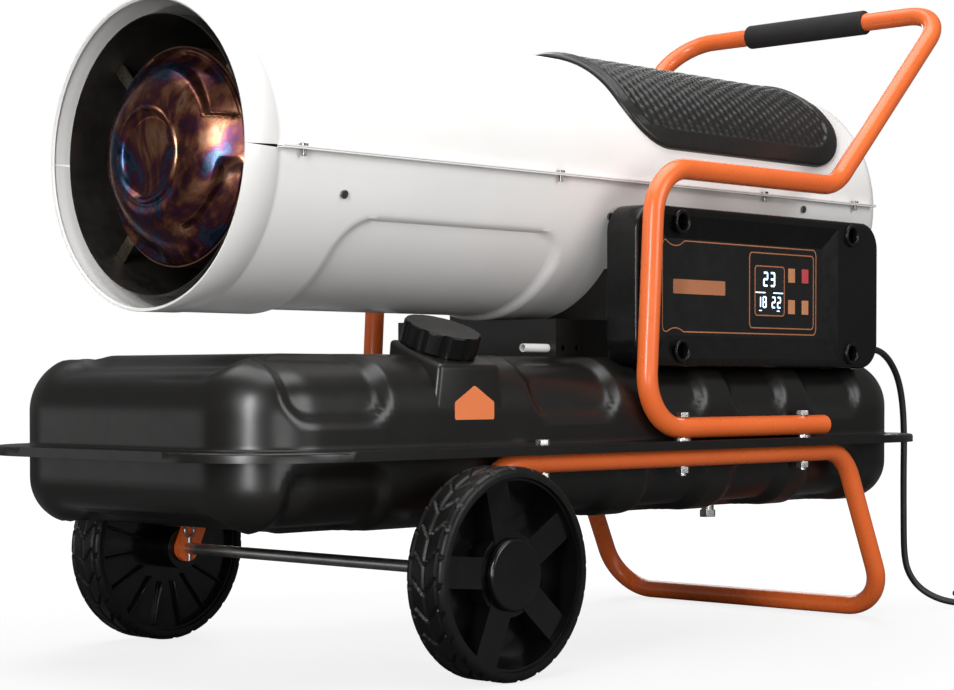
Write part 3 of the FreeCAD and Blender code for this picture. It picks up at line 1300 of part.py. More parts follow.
def power_cord(coil_start, coil_heading):
    """Free stretch of the lead, each bend as large as its runs allow."""
    points = CORD_ROUTE + [coil_start - coil_heading * COIL_LEAD_IN, coil_start]
    radii = []
    for before, corner, after in zip(points, points[1:], points[2:]):
        turn = (corner - before).getAngle(after - corner)
        run = min((corner - before).Length, (after - corner).Length)
        radii.append(0.45 * run / math.tan(turn / 2))
    print("cord bend radii:", [round(r) for r in radii])
    path = bent_path(points, radii)
    tube = swept(path, CORD_R)
    print("cord length:", round(path.Length), "volume ratio:",
          round(tube.Volume / (path.Length * math.pi * CORD_R ** 2), 4))
    return tube


def coil_tie():
    """Strap round both layers of the coil."""
    inner_r = COIL_MID_R - COIL_STEP * COIL_TURNS / 2 - CORD_R - COIL_STEP * 0.5
    outer_r = COIL_OUT_R + CORD_R + SEAT_GAP
    high = COIL_Z + COIL_STEP + CORD_R + SEAT_GAP
    hole = block(inner_r, outer_r, -TIE_W / 2, TIE_W / 2, TIE_T, high)
    strap = block(inner_r - TIE_T, outer_r + TIE_T, -TIE_W / 2, TIE_W / 2, 0, high + TIE_T).cut(hole)
    return strap.rotated(ORIGIN, Z_AXIS, TIE_ANGLE).translated(V(COIL_X, COIL_Y, 0))


def plug(seat, heading):
    """Flat moulded plug with a sleeve and two round pins."""
    half_h = seat.z
    tail = rod(ORIGIN, V(PLUG_TAIL_LEN, 0, 0), PLUG_TAIL_R)
    body = rounded_block(PLUG_TAIL_LEN, PLUG_TAIL_LEN + PLUG_LEN, -PLUG_W / 2, PLUG_W / 2, -half_h, half_h, X_AXIS,
                         half_h * 0.45)
    front = PLUG_TAIL_LEN + PLUG_LEN
    pins = [rod(V(front, y, 0), V(front + PIN_LEN, y, 0), PIN_R) for y in (PIN_SPACING / 2, -PIN_SPACING / 2)]
    whole = fused([tail, body] + pins)
    turn = math.degrees(math.atan2(heading.y, heading.x))
    return whole.rotated(ORIGIN, Z_AXIS, turn).translated(seat)


def export(name, shapes):
    """Write one piece, or one group of like pieces, as a STEP file."""
    solids = [solid for shape in shapes for solid in shape.Solids]
    whole = solids[0] if len(solids) == 1 else Part.makeCompound(solids)
    whole.exportStep("parts/" + name + ".step")
    print(name, "solids", len(solids), "volume", round(whole.Volume), "" if whole.isValid() else "NOT VALID")


def main():
    """Build every piece and write its file."""
    os.makedirs("parts", exist_ok=True)
    bolts, nuts, spacers = frame_fasteners()
    coil_wire, heading_in, heading_out = coil_path()
    coil_start = coil_wire.OrderedVertexes[0].Point
    coil_end = coil_wire.OrderedVertexes[-1].Point
    print("least gap in the coil:", round(least_coil_gap(), 2), "coil length:", round(coil_wire.Length))
    right_rim = wheel_rim()
    right_tyre = tyre()
    right_cap = hub_cap()
    pieces = {
        "tank_lower": [tank_lower()], "tank_upper": [tank_upper()], "filler_neck": [filler_neck()],
        "cap_gasket": [cap_gasket()], "fuel_cap": [fuel_cap()], "drain_plug": [drain_plug()],
        "fuel_line": [fuel_line()], "riser": [riser()], "vent_tube": [vent_tube()],
        "lower_shell": [lower_shell()], "upper_shell": [barrel_half(1, UPPER_PANEL_YS, UPPER_PANEL_ANGLE)],
        "seam_screws": seam_screws(), "shell_screws": shell_screws(), "air_liner": [air_liner()],
        "combustion_drum": [combustion_drum()], "flame_dome": [flame_dome()], "drum_clips": drum_clips(),
        "burner_body": [burner_body()], "electrodes": electrodes(), "motor": [motor()],
        "motor_bracket": [motor_bracket()], "fan_shaft": [fan_shaft()], "fan": [fan()],
        "pump_body": [pump_body()], "pump_rotor": [pump_rotor()], "pump_cover": [pump_cover()],
        "pressure_gauge": [pressure_gauge()], "air_pipe": [air_pipe()], "rear_guard": [rear_guard()],
        "box_rear": [box_rear()], "box_cover": [box_cover()], "cover_screws": cover_screws(),
        "label_panel": [label_panel()], "display": [display()], "circuit_board": [circuit_board()],
        "ignition_transformer": [ignition_transformer()], "cord_gland": [cord_gland()], "top_pad": [top_pad()],
        "handle_tube": [handle_tube()], "foam_grip": [foam_grip()], "leg_tube": [leg_tube()],
        "frame_bolts": bolts, "frame_nuts": nuts, "bolt_spacers": spacers, "axle": [axle()],
        "cotter_pins": cotter_pins(), "right_wheel_rim": [right_rim], "right_tyre": [right_tyre],
        "right_hub_cap": [right_cap], "left_wheel_rim": [right_rim.mirror(ORIGIN, X_AXIS)],
        "left_tyre": [right_tyre.mirror(ORIGIN, X_AXIS)], "left_hub_cap": [right_cap.mirror(ORIGIN, X_AXIS)],
        "power_cord": [power_cord(coil_start, heading_in)], "cord_coil": [swept(coil_wire, CORD_R)],
        "coil_tie": [coil_tie()], "plug": [plug(coil_end, heading_out)],
    }
    for name, y, z in KEYS:
        pieces[name] = [push_key(y, z)]
    for name, shapes in pieces.items():
        export(name, shapes)


main()
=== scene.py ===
"""Looks of a diesel forced air heater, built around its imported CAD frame.

Sizes in the classes are millimetres in the CAD frame: +Z is up, -Y is the hot air outlet and +X is the
control side. Finished meshes are metres, at the origin, with their place in the mesh.
"""

from __future__ import annotations

import json
import logging
import math
from collections.abc import Callable, Sequence
from dataclasses import dataclass
from enum import Enum
from pathlib import Path
from typing import Any

import bmesh
import bpy
from bmesh.types import BMEdge, BMFace, BMVert
from mathutils import Matrix, Vector
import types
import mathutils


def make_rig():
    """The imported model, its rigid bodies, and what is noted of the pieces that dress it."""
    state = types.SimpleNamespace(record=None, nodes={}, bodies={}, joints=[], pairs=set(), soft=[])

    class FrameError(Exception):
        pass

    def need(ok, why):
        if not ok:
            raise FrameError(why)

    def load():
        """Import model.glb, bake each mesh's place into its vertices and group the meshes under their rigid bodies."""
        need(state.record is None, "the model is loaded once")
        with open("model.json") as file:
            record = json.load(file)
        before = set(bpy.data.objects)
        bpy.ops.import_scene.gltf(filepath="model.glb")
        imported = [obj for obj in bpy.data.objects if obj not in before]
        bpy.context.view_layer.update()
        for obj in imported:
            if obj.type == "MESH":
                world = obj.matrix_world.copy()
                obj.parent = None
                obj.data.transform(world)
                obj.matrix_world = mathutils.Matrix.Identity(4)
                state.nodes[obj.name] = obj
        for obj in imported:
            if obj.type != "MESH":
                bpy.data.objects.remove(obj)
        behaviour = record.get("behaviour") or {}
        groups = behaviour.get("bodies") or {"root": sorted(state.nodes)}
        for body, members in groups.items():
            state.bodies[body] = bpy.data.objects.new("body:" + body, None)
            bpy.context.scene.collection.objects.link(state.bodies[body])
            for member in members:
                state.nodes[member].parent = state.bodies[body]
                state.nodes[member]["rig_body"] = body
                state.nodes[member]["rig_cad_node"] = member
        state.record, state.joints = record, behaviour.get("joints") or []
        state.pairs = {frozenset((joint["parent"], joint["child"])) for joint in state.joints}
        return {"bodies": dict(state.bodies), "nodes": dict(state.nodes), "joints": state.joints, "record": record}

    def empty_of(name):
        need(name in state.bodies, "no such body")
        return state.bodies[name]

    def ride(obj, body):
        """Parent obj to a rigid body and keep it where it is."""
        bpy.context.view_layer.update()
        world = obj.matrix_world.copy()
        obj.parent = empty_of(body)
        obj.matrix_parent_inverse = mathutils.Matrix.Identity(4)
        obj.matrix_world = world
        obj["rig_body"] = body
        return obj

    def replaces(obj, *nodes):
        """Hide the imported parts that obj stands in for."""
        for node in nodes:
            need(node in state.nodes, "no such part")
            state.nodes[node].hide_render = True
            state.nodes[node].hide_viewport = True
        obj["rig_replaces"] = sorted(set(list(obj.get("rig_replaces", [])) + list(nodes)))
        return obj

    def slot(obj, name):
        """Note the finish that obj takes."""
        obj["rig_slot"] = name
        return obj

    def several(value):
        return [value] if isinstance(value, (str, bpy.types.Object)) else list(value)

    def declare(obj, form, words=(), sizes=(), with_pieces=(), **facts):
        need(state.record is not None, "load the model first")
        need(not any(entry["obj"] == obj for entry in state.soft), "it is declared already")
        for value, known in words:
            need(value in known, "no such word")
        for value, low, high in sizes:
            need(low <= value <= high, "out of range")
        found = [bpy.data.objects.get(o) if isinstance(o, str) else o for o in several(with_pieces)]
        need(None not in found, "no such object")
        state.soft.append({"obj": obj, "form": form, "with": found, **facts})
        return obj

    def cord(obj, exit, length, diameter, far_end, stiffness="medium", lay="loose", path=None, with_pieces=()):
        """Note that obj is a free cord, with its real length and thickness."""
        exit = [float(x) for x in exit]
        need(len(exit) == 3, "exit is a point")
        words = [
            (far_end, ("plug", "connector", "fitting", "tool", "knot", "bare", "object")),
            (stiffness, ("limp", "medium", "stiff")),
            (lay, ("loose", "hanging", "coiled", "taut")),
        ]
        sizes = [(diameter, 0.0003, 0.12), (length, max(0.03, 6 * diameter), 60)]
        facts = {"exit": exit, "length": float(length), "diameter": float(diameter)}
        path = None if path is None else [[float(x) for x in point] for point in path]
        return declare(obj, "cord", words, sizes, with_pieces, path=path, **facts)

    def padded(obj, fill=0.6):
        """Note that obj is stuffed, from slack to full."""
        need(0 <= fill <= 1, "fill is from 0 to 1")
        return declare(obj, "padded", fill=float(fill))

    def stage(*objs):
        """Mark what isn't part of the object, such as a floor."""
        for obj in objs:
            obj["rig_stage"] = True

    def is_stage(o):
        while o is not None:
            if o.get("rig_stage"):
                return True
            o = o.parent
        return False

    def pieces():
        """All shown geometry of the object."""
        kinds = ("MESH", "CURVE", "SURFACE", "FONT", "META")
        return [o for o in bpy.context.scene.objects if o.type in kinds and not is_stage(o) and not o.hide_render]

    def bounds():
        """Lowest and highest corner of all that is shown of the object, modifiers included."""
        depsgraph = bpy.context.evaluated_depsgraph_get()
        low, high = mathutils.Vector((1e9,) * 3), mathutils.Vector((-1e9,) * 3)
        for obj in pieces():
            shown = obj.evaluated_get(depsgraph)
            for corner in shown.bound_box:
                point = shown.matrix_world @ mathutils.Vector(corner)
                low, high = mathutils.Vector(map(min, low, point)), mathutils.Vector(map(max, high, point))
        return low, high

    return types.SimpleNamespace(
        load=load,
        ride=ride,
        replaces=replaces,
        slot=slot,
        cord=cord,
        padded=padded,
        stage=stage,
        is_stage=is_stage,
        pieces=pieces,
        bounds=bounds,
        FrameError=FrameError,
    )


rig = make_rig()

LOG = logging.getLogger("heater")
MM = 0.001
MERGE_GAP = 0.005
FLAT_ANGLE = 0.6
NEAR = 0.1
ROOT = "heater"
BARREL_R = 146.0
BARREL_Z = 490.0
BARREL_AXIS = Matrix(((1, 0, 0, 0), (0, 0, -1, 0), (0, 1, 0, BARREL_Z), (0, 0, 0, 1)))
PHOTO_W = 954
PHOTO_H = 690

Rgb = tuple[float, float, float]
Point = tuple[float, float, float]
Span = tuple[float, float]
Section = Sequence[Span]

SEGMENT_PLACES = {"top": (0, 1, False), "middle": (0, 0, False), "foot": (0, -1, False),
                  "left_up": (-1, 0.5, True), "left_low": (-1, -0.5, True),
                  "right_up": (1, 0.5, True), "right_low": (1, -0.5, True)}
SEGMENTS = {"1": ("right_up", "right_low"), "2": ("top", "right_up", "middle", "left_low", "foot"),
            "3": ("top", "right_up", "middle", "right_low", "foot"), "8": tuple(SEGMENT_PLACES)}


class Pattern(Enum):
    """Fine relief that a finish carries."""

    PEEL = "sprayed paint"
    GRAIN = "moulded grain"
    CELLS = "foam cells"
    BRUSHED = "drawn metal"
    WEAVE = "woven tape"


class Half(Enum):
    """The two pressed halves of the tank and of the barrel."""

    UPPER = 1
    LOWER = -1


class Side(Enum):
    """The two sides of the heater, as the sign of X."""

    RIGHT = 1
    LEFT = -1


def ease(low: float, high: float, value: float) -> float:
    """Smooth step from 0 at low to 1 at high.

    Args:
        low: value where the step starts.
        high: value where the step ends.
        value: place on the step.

    Returns:
        A share between 0 and 1.
    """
    share = min(max((value - low) / (high - low), 0.0), 1.0)
    return share * share * (3.0 - 2.0 * share)


def inside_rounded(u: float, v: float, half_u: float, half_v: float, corner: float, soft: float) -> float:
    """How far a point lies inside a rounded rectangle round the origin, as a soft mask.

    Args:
        u: place along the first side.
        v: place along the second side.
        half_u: half of the first side.
        half_v: half of the second side.
        corner: corner radius.
        soft: half width of the soft border.

    Returns:
        1 inside, 0 outside, eased across the border.
    """
    out_u = abs(u) - half_u + corner
    out_v = abs(v) - half_v + corner
    gap = math.hypot(max(out_u, 0.0), max(out_v, 0.0)) + min(max(out_u, out_v), 0.0) - corner
    return ease(soft, -soft, gap)


def draw_back(gap: float, corner: float) -> float:
    """How far a rounded corner draws back at a distance from the edge beside it."""
    short = max(corner - gap, 0.0)
    return corner - math.sqrt(max(corner ** 2 - short ** 2, 0.0))


def quarter_round(radius: float, steps: int) -> list[Span]:
    """Points of a rounded edge, as the distance still to go out and the distance gone along."""
    turn = [math.radians(90.0 * k / steps) for k in range(steps + 1)]
    return [(radius * (1 - math.sin(angle)), radius * (1 - math.cos(angle))) for angle in turn]


def radial(place: Vector) -> Vector:
    """Step from the barrel's axis straight out to a place."""
    return Vector((place.x, 0.0, place.z - BARREL_Z))


class Graph:
    """Node tree of one material."""

    def __init__(self, name: str) -> None:
        """Start a material with its principled shader.

        Args:
            name: name of the material.
        """
        self.material = bpy.data.materials.new(name)
        self.material.use_nodes = True
        self.tree = self.material.node_tree
        self.shader = self.tree.nodes["Principled BSDF"]
        self.place = self.tree.nodes.new("ShaderNodeTexCoord").outputs["Object"]

    def add(self, kind: str, links: dict[str, Any], values: dict[str, Any], **settings: Any) -> Any:
        """Add a node.

        Args:
            kind: Blender's name of the node type.
            links: input names and the sockets that feed them.
            values: input names and their constant values.
            settings: properties of the node itself.

        Returns:
            The first output socket of the node.
        """
        node = self.tree.nodes.new(kind)
        for key, value in settings.items():
            setattr(node, key, value)
        for key, value in values.items():
            node.inputs[key].default_value = value
        for key, socket in links.items():
            self.tree.links.new(socket, node.inputs[key])
        return node.outputs[0]

    def noise(self, scale: float, detail: float = 3.0, stretch: Point = (1.0, 1.0, 1.0),
              swirl: float = 0.0) -> Any:
        """Noise on object coordinates.

        Args:
            scale: cells per metre.
            detail: octaves of the noise.
            stretch: scale along each axis.
            swirl: strength of the distortion.

        Returns:
            The factor socket.
        """
        place = self.add("ShaderNodeMapping", {"Vector": self.place}, {"Scale": stretch})
        values = {"Scale": scale, "Detail": detail, "Distortion": swirl}
        return self.add("ShaderNodeTexNoise", {"Vector": place}, values)

    def cells(self, scale: float) -> Any:
        """Distance to the nearest cell centre, in cells per metre."""
        return self.add("ShaderNodeTexVoronoi", {"Vector": self.place}, {"Scale": scale})

    def far(self, place: Any) -> Any:
        """Distance of a place from the origin, in metres."""
        length = self.add("ShaderNodeVectorMath", {0: place}, {}, operation="LENGTH")
        return length.node.outputs["Value"]

    def combine(self, first: Any, second: Any, operation: str) -> Any:
        """Sum or product of two factors."""
        return self.add("ShaderNodeMath", {0: first, 1: second}, {}, operation=operation)

    def ramp(self, factor: Any, stops: Sequence[tuple[float, Rgb]]) -> Any:
        """Colour ramp over a factor.

        Args:
            factor: socket that drives the ramp.
            stops: places between 0 and 1 with their colours.

        Returns:
            The colour socket.
        """
        colour = self.add("ShaderNodeValToRGB", {"Fac": factor}, {})
        elements = colour.node.color_ramp.elements
        while len(elements) < len(stops):
            elements.new(0.5)
        for element, (place, rgb) in zip(elements, stops):
            element.position = place
            element.color = (*rgb, 1.0)
        return colour

    def spread(self, factor: Any, low: float, high: float, start: float = 0.3, end: float = 0.7) -> Any:
        """Map a factor between start and end to a range of values."""
        values = {"From Min": start, "From Max": end, "To Min": low, "To Max": high}
        return self.add("ShaderNodeMapRange", {"Value": factor}, values)

    def bump(self, height: Any, distance: float, strength: float = 1.0) -> None:
        """Give the shader relief of a height in metres."""
        values = {"Distance": distance, "Strength": strength}
        self.join("Normal", self.add("ShaderNodeBump", {"Height": height}, values))

    def join(self, name: str, socket: Any) -> None:
        """Feed one input of the shader."""
        self.tree.links.new(socket, self.shader.inputs[name])

    def fix(self, **values: Any) -> None:
        """Set constant shader inputs by name, with underscores for spaces."""
        for key, value in values.items():
            self.shader.inputs[key.replace("_", " ")].default_value = value


class Surface:
    """A finish that is built once, as a material of its own."""

    name: str

    def material(self) -> bpy.types.Material:
        """The finish's material, built at the first call.

        Returns:
            The material.
        """
        known = bpy.data.materials.get(self.name)
        if known is not None:
            return known
        graph = Graph(self.name)
        self.paint(graph)
        return graph.material

    def paint(self, graph: Graph) -> None:
        """Lay the finish's nodes."""
        raise NotImplementedError


@dataclass(frozen=True)
class Finish(Surface):
    """One real surface: its colour drift, gloss and fine relief.

    Its name differs from the record's slots, whose plain materials come with the frame.
    """

    name: str
    colour: Rgb
    drift: Rgb
    roughness: float
    pattern: Pattern = Pattern.PEEL
    scale: float = 900.0
    relief: float = 0.00004
    metallic: float = 0.0
    coat: float = 0.0
    patches: float = 9.0
    stretch: Point = (1.0, 1.0, 1.0)
    uneven: float = 0.05
    specular: float = 0.5

    def paint(self, graph: Graph) -> None:
        """Lay colour clouds, uneven gloss and relief.

        Args:
            graph: node tree of the material.
        """
        cloud = graph.noise(self.patches, 4.0)
        graph.join("Base Color", graph.ramp(cloud, ((0.32, self.colour), (0.68, self.drift))))
        smear = graph.noise(self.patches * 6.0, 2.0)
        gloss = graph.spread(smear, self.roughness - self.uneven, self.roughness + self.uneven)
        graph.join("Roughness", gloss)
        graph.bump(self.relief_height(graph), self.relief)
        graph.fix(Metallic=self.metallic, Specular_IOR_Level=self.specular)
        graph.fix(Coat_Weight=self.coat, Coat_Roughness=0.12)

    def relief_height(self, graph: Graph) -> Any:
        """Height of the fine relief.

        Args:
            graph: node tree of the material.

        Returns:
            The height socket.
        """
        if self.pattern is Pattern.CELLS:
            return graph.cells(self.scale)
        if self.pattern is Pattern.WEAVE:
            values = {"Scale": self.scale, "Distortion": 1.5}
            return graph.add("ShaderNodeTexWave", {"Vector": graph.place}, values)
        if self.pattern is Pattern.BRUSHED:
            return graph.noise(self.scale, 2.0, self.stretch)
        return graph.noise(self.scale, 2.0)


@dataclass(frozen=True)
class HeatTint(Surface):
    """Steel with oxide colours in bands and clouds round the barrel axis."""

    name: str
    centre: Point
    reach: float
    oxides: tuple[tuple[float, Rgb], ...]

    def paint(self, graph: Graph) -> None:
        """Lay oxide colours by distance, clouds and veins.

        Args:
            graph: node tree of the material.
        """
        centre = {"Location": tuple(-c for c in self.centre)}
        place = graph.add("ShaderNodeMapping", {"Vector": graph.place}, centre)
        cloud = graph.noise(9.0, 4.0, swirl=2.2)
        vein = graph.noise(24.0, 5.0, (1.0, 1.0, 0.55), swirl=3.0)
        band = graph.spread(graph.far(place), -0.05, 0.03, 0.42 * self.reach, 0.60 * self.reach)
        tint = graph.combine(cloud, band, "ADD")
        tint = graph.combine(tint, graph.spread(vein, -0.10, 0.10), "ADD")
        graph.join("Base Color", graph.ramp(tint, self.oxides))
        graph.join("Roughness", graph.spread(graph.noise(60.0, 3.0), 0.14, 0.32))
        graph.bump(graph.noise(160.0, 4.0), 0.0001, 0.4)
        graph.fix(Metallic=0.9)


@dataclass(frozen=True)
class Glow(Surface):
    """Lit display segments."""

    name: str
    colour: Rgb
    strength: float

    def paint(self, graph: Graph) -> None:
        """Lay the light with a slight flicker across the segments.

        Args:
            graph: node tree of the material.
        """
        dim = tuple(0.9 * c for c in self.colour)
        flicker = graph.ramp(graph.noise(400.0), ((0.2, self.colour), (0.8, dim)))
        graph.join("Base Color", flicker)
        graph.join("Emission Color", flicker)
        graph.fix(Emission_Strength=self.strength, Roughness=0.4)


@dataclass(frozen=True)
class FadingFloor(Surface):
    """Pale studio floor that the camera sees brighten away from the heater until it meets the surround."""

    name: str
    colour: Rgb
    near: float
    far: float
    glow: float

    def paint(self, graph: Graph) -> None:
        """Lay the floor's paint, and the light that only the camera sees.

        Args:
            graph: node tree of the material.
        """
        worn = tuple(0.98 * c for c in self.colour)
        graph.join("Base Color", graph.ramp(graph.noise(0.6), ((0.3, self.colour), (0.7, worn))))
        fade = graph.spread(graph.far(graph.place), self.glow, 1.0, self.near, self.far)
        seen = graph.add("ShaderNodeLightPath", {}, {})
        graph.join("Emission Strength", graph.combine(fade, seen, "MULTIPLY"))
        graph.fix(Roughness=0.8, Emission_Color=(1.0, 1.0, 1.0, 1.0))


SHELL_WHITE = Finish("shell_white", (0.85, 0.84, 0.825), (0.82, 0.81, 0.795), 0.34, scale=700.0,
                     relief=0.00001, coat=0.2)
TANK_BLACK = Finish("tank_black", (0.0058, 0.0053, 0.0048), (0.0076, 0.0069, 0.0062), 0.31, scale=1100.0,
                    relief=0.000008, uneven=0.015)
FRAME_ORANGE = Finish("frame_orange", (0.83, 0.158, 0.032), (0.78, 0.138, 0.027), 0.30, scale=900.0,
                      relief=0.000012, coat=0.15)
TAG_ORANGE = Finish("tag_orange", (0.80, 0.215, 0.070), (0.74, 0.190, 0.060), 0.42, scale=1200.0,
                    relief=0.00002)
ZINC = Finish("zinc_plate", (0.62, 0.62, 0.60), (0.50, 0.50, 0.49), 0.30, Pattern.BRUSHED, 500.0, 0.00003,
              1.0, patches=60.0, stretch=(1.0, 1.0, 0.1))
DARK_STEEL = Finish("dark_screw_steel", (0.10, 0.10, 0.10), (0.07, 0.07, 0.07), 0.35, Pattern.BRUSHED,
                    600.0, 0.00003, 1.0, patches=80.0)
SCREW_STEEL = Finish("shell_screw_steel", (0.30, 0.30, 0.29), (0.15, 0.15, 0.145), 0.26, Pattern.BRUSHED,
                     600.0, 0.00002, 1.0, patches=90.0)
AXLE_STEEL = Finish("axle_steel", (0.72, 0.72, 0.70), (0.56, 0.56, 0.55), 0.36, Pattern.BRUSHED, 500.0,
                    0.000004, 1.0, patches=40.0, stretch=(0.1, 1.0, 1.0))
LINER_STEEL = Finish("sooted_liner", (0.030, 0.029, 0.028), (0.075, 0.068, 0.062), 0.42, Pattern.BRUSHED,
                     260.0, 0.00010, 0.75, patches=16.0, stretch=(1.0, 0.2, 1.0), uneven=0.10)
DRUM_STEEL = Finish("burnt_drum", (0.26, 0.130, 0.085), (0.10, 0.048, 0.045), 0.36, Pattern.BRUSHED, 220.0,
                    0.0001, 0.9, patches=22.0, uneven=0.12)
CLIP_STEEL = Finish("spring_clip", (0.66, 0.60, 0.50), (0.36, 0.28, 0.20), 0.30, Pattern.BRUSHED, 400.0,
                    0.00004, 1.0, patches=70.0)
CAST = Finish("cast_alloy", (0.42, 0.42, 0.41), (0.33, 0.33, 0.33), 0.55, Pattern.GRAIN, 500.0, 0.0002, 0.9)
MOTOR_GREY = Finish("motor_enamel", (0.055, 0.058, 0.062), (0.042, 0.044, 0.048), 0.50, relief=0.00008)
CARBON = Finish("carbon_rotor", (0.02, 0.02, 0.021), (0.03, 0.03, 0.03), 0.60, Pattern.GRAIN, 900.0,
                0.00005)
COPPER_PIPE = Finish("copper_tube", (0.62, 0.27, 0.14), (0.45, 0.17, 0.09), 0.32, Pattern.BRUSHED, 400.0,
                     0.00003, 1.0, patches=50.0)
GAUGE_FACE = Finish("gauge_dial", (0.70, 0.70, 0.68), (0.62, 0.62, 0.60), 0.30, relief=0.00001)
BOX_BLACK = Finish("box_moulding", (0.0042, 0.0041, 0.0041), (0.0058, 0.0056, 0.0055), 0.27, Pattern.GRAIN,
                   1400.0, 0.000014, specular=0.3)
CAP_BLACK = Finish("cap_moulding", (0.0030, 0.0029, 0.0028), (0.0042, 0.0040, 0.0039), 0.34, Pattern.GRAIN,
                   1200.0, 0.00002, specular=0.2)
PAD_BLACK = Finish("pad_moulding", (0.0105, 0.0100, 0.0096), (0.0140, 0.0133, 0.0127), 0.33, Pattern.CELLS,
                   210.0, 0.00018, specular=0.4)
PANEL_BLACK = Finish("panel_film", (0.0050, 0.0049, 0.0049), (0.0064, 0.0062, 0.0062), 0.34, Pattern.GRAIN,
                     1600.0, 0.00001)
PANEL_COPPER = Finish("panel_copper_line", (0.47, 0.180, 0.082), (0.41, 0.150, 0.066), 0.42, scale=1200.0,
                      relief=0.00001)
SCREEN = Finish("display_screen", (0.006, 0.0065, 0.008), (0.009, 0.0095, 0.011), 0.12, relief=0.000005,
                coat=0.6)
BOARD = Finish("board_lacquer", (0.02, 0.10, 0.05), (0.015, 0.08, 0.04), 0.45, Pattern.GRAIN, 300.0, 0.0001)
KEY_COPPER = Finish("key_bronze", (0.62, 0.270, 0.130), (0.55, 0.235, 0.110), 0.44, Pattern.GRAIN, 1400.0,
                    0.00001)
KEY_RED = Finish("key_power_red", (0.62, 0.075, 0.085), (0.55, 0.062, 0.072), 0.44, Pattern.GRAIN, 1400.0,
                 0.00001)
WHEEL_BLACK = Finish("wheel_moulding", (0.0022, 0.0021, 0.0020), (0.0032, 0.0030, 0.0029), 0.20,
                     Pattern.GRAIN, 1100.0, 0.000012, specular=0.5)
RUBBER = Finish("tread_rubber", (0.0036, 0.0034, 0.0032), (0.0052, 0.0049, 0.0046), 0.40, Pattern.GRAIN,
                900.0, 0.00003, patches=22.0, specular=0.25)
FOAM = Finish("foam_black", (0.009, 0.0088, 0.0086), (0.013, 0.0126, 0.0122), 0.82, Pattern.CELLS, 900.0,
              0.0004)
CORD_RUBBER = Finish("cord_sheath", (0.014, 0.014, 0.014), (0.019, 0.019, 0.019), 0.50, Pattern.GRAIN,
                     1000.0, 0.0001)
TIE_TAPE = Finish("tie_tape", (0.03, 0.03, 0.03), (0.045, 0.045, 0.045), 0.75, Pattern.WEAVE, 300.0, 0.0003)
WHITE_PLASTIC = Finish("vent_plastic", (0.78, 0.78, 0.77), (0.70, 0.70, 0.69), 0.42, Pattern.GRAIN, 900.0,
                       0.00005)
HOSE = Finish("fuel_hose", (0.03, 0.03, 0.03), (0.04, 0.04, 0.04), 0.55, Pattern.GRAIN, 700.0, 0.0001)
FLOOR_PAINT = FadingFloor("studio_floor", (0.09, 0.09, 0.09), 0.5, 1.6, 0.82)
DOME_TINT = HeatTint("heat_tinted_dome", (0.0, -0.490, 0.490), 0.104, (
    (0.30, (0.014, 0.022, 0.055)), (0.38, (0.032, 0.058, 0.105)), (0.43, (0.062, 0.018, 0.048)),
    (0.50, (0.105, 0.034, 0.032)), (0.57, (0.230, 0.090, 0.048)), (0.66, (0.330, 0.170, 0.110)),
    (0.76, (0.120, 0.040, 0.045))))
DIGIT_GLOW = Glow("display_digits", (0.62, 0.82, 1.0), 2.2)


class Frame:
    """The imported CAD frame, and what the pieces need from it."""

    def __init__(self) -> None:
        """Load the frame and keep its box."""
        self.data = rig.load()
        self.cad_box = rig.bounds()
        self.slots = {row["node"]: row["material_slot"] for row in self.data["record"]["subparts"]}
        self.bodies = {node: body for body, nodes in self.data["record"]["behaviour"]["bodies"].items()
                       for node in nodes}

    def dress(self, finish: Surface, *nodes: str) -> None:
        """Give CAD nodes a finish.

        Args:
            finish: the surface.
            nodes: names of the nodes.
        """
        for node in nodes:
            mesh = self.data["nodes"][node].data
            mesh.materials.clear()
            mesh.materials.append(finish.material())
            LOG.info("dressed %s", node)

    def write_sizes(self, path: str) -> None:
        """Args:
            path: file to write.
        """
        boxes = {"cad": self.cad_box, "visual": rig.bounds()}
        rows = {name: [[float(c) for c in corner] for corner in box] for name, box in boxes.items()}
        Path(path).write_text(json.dumps(rows))


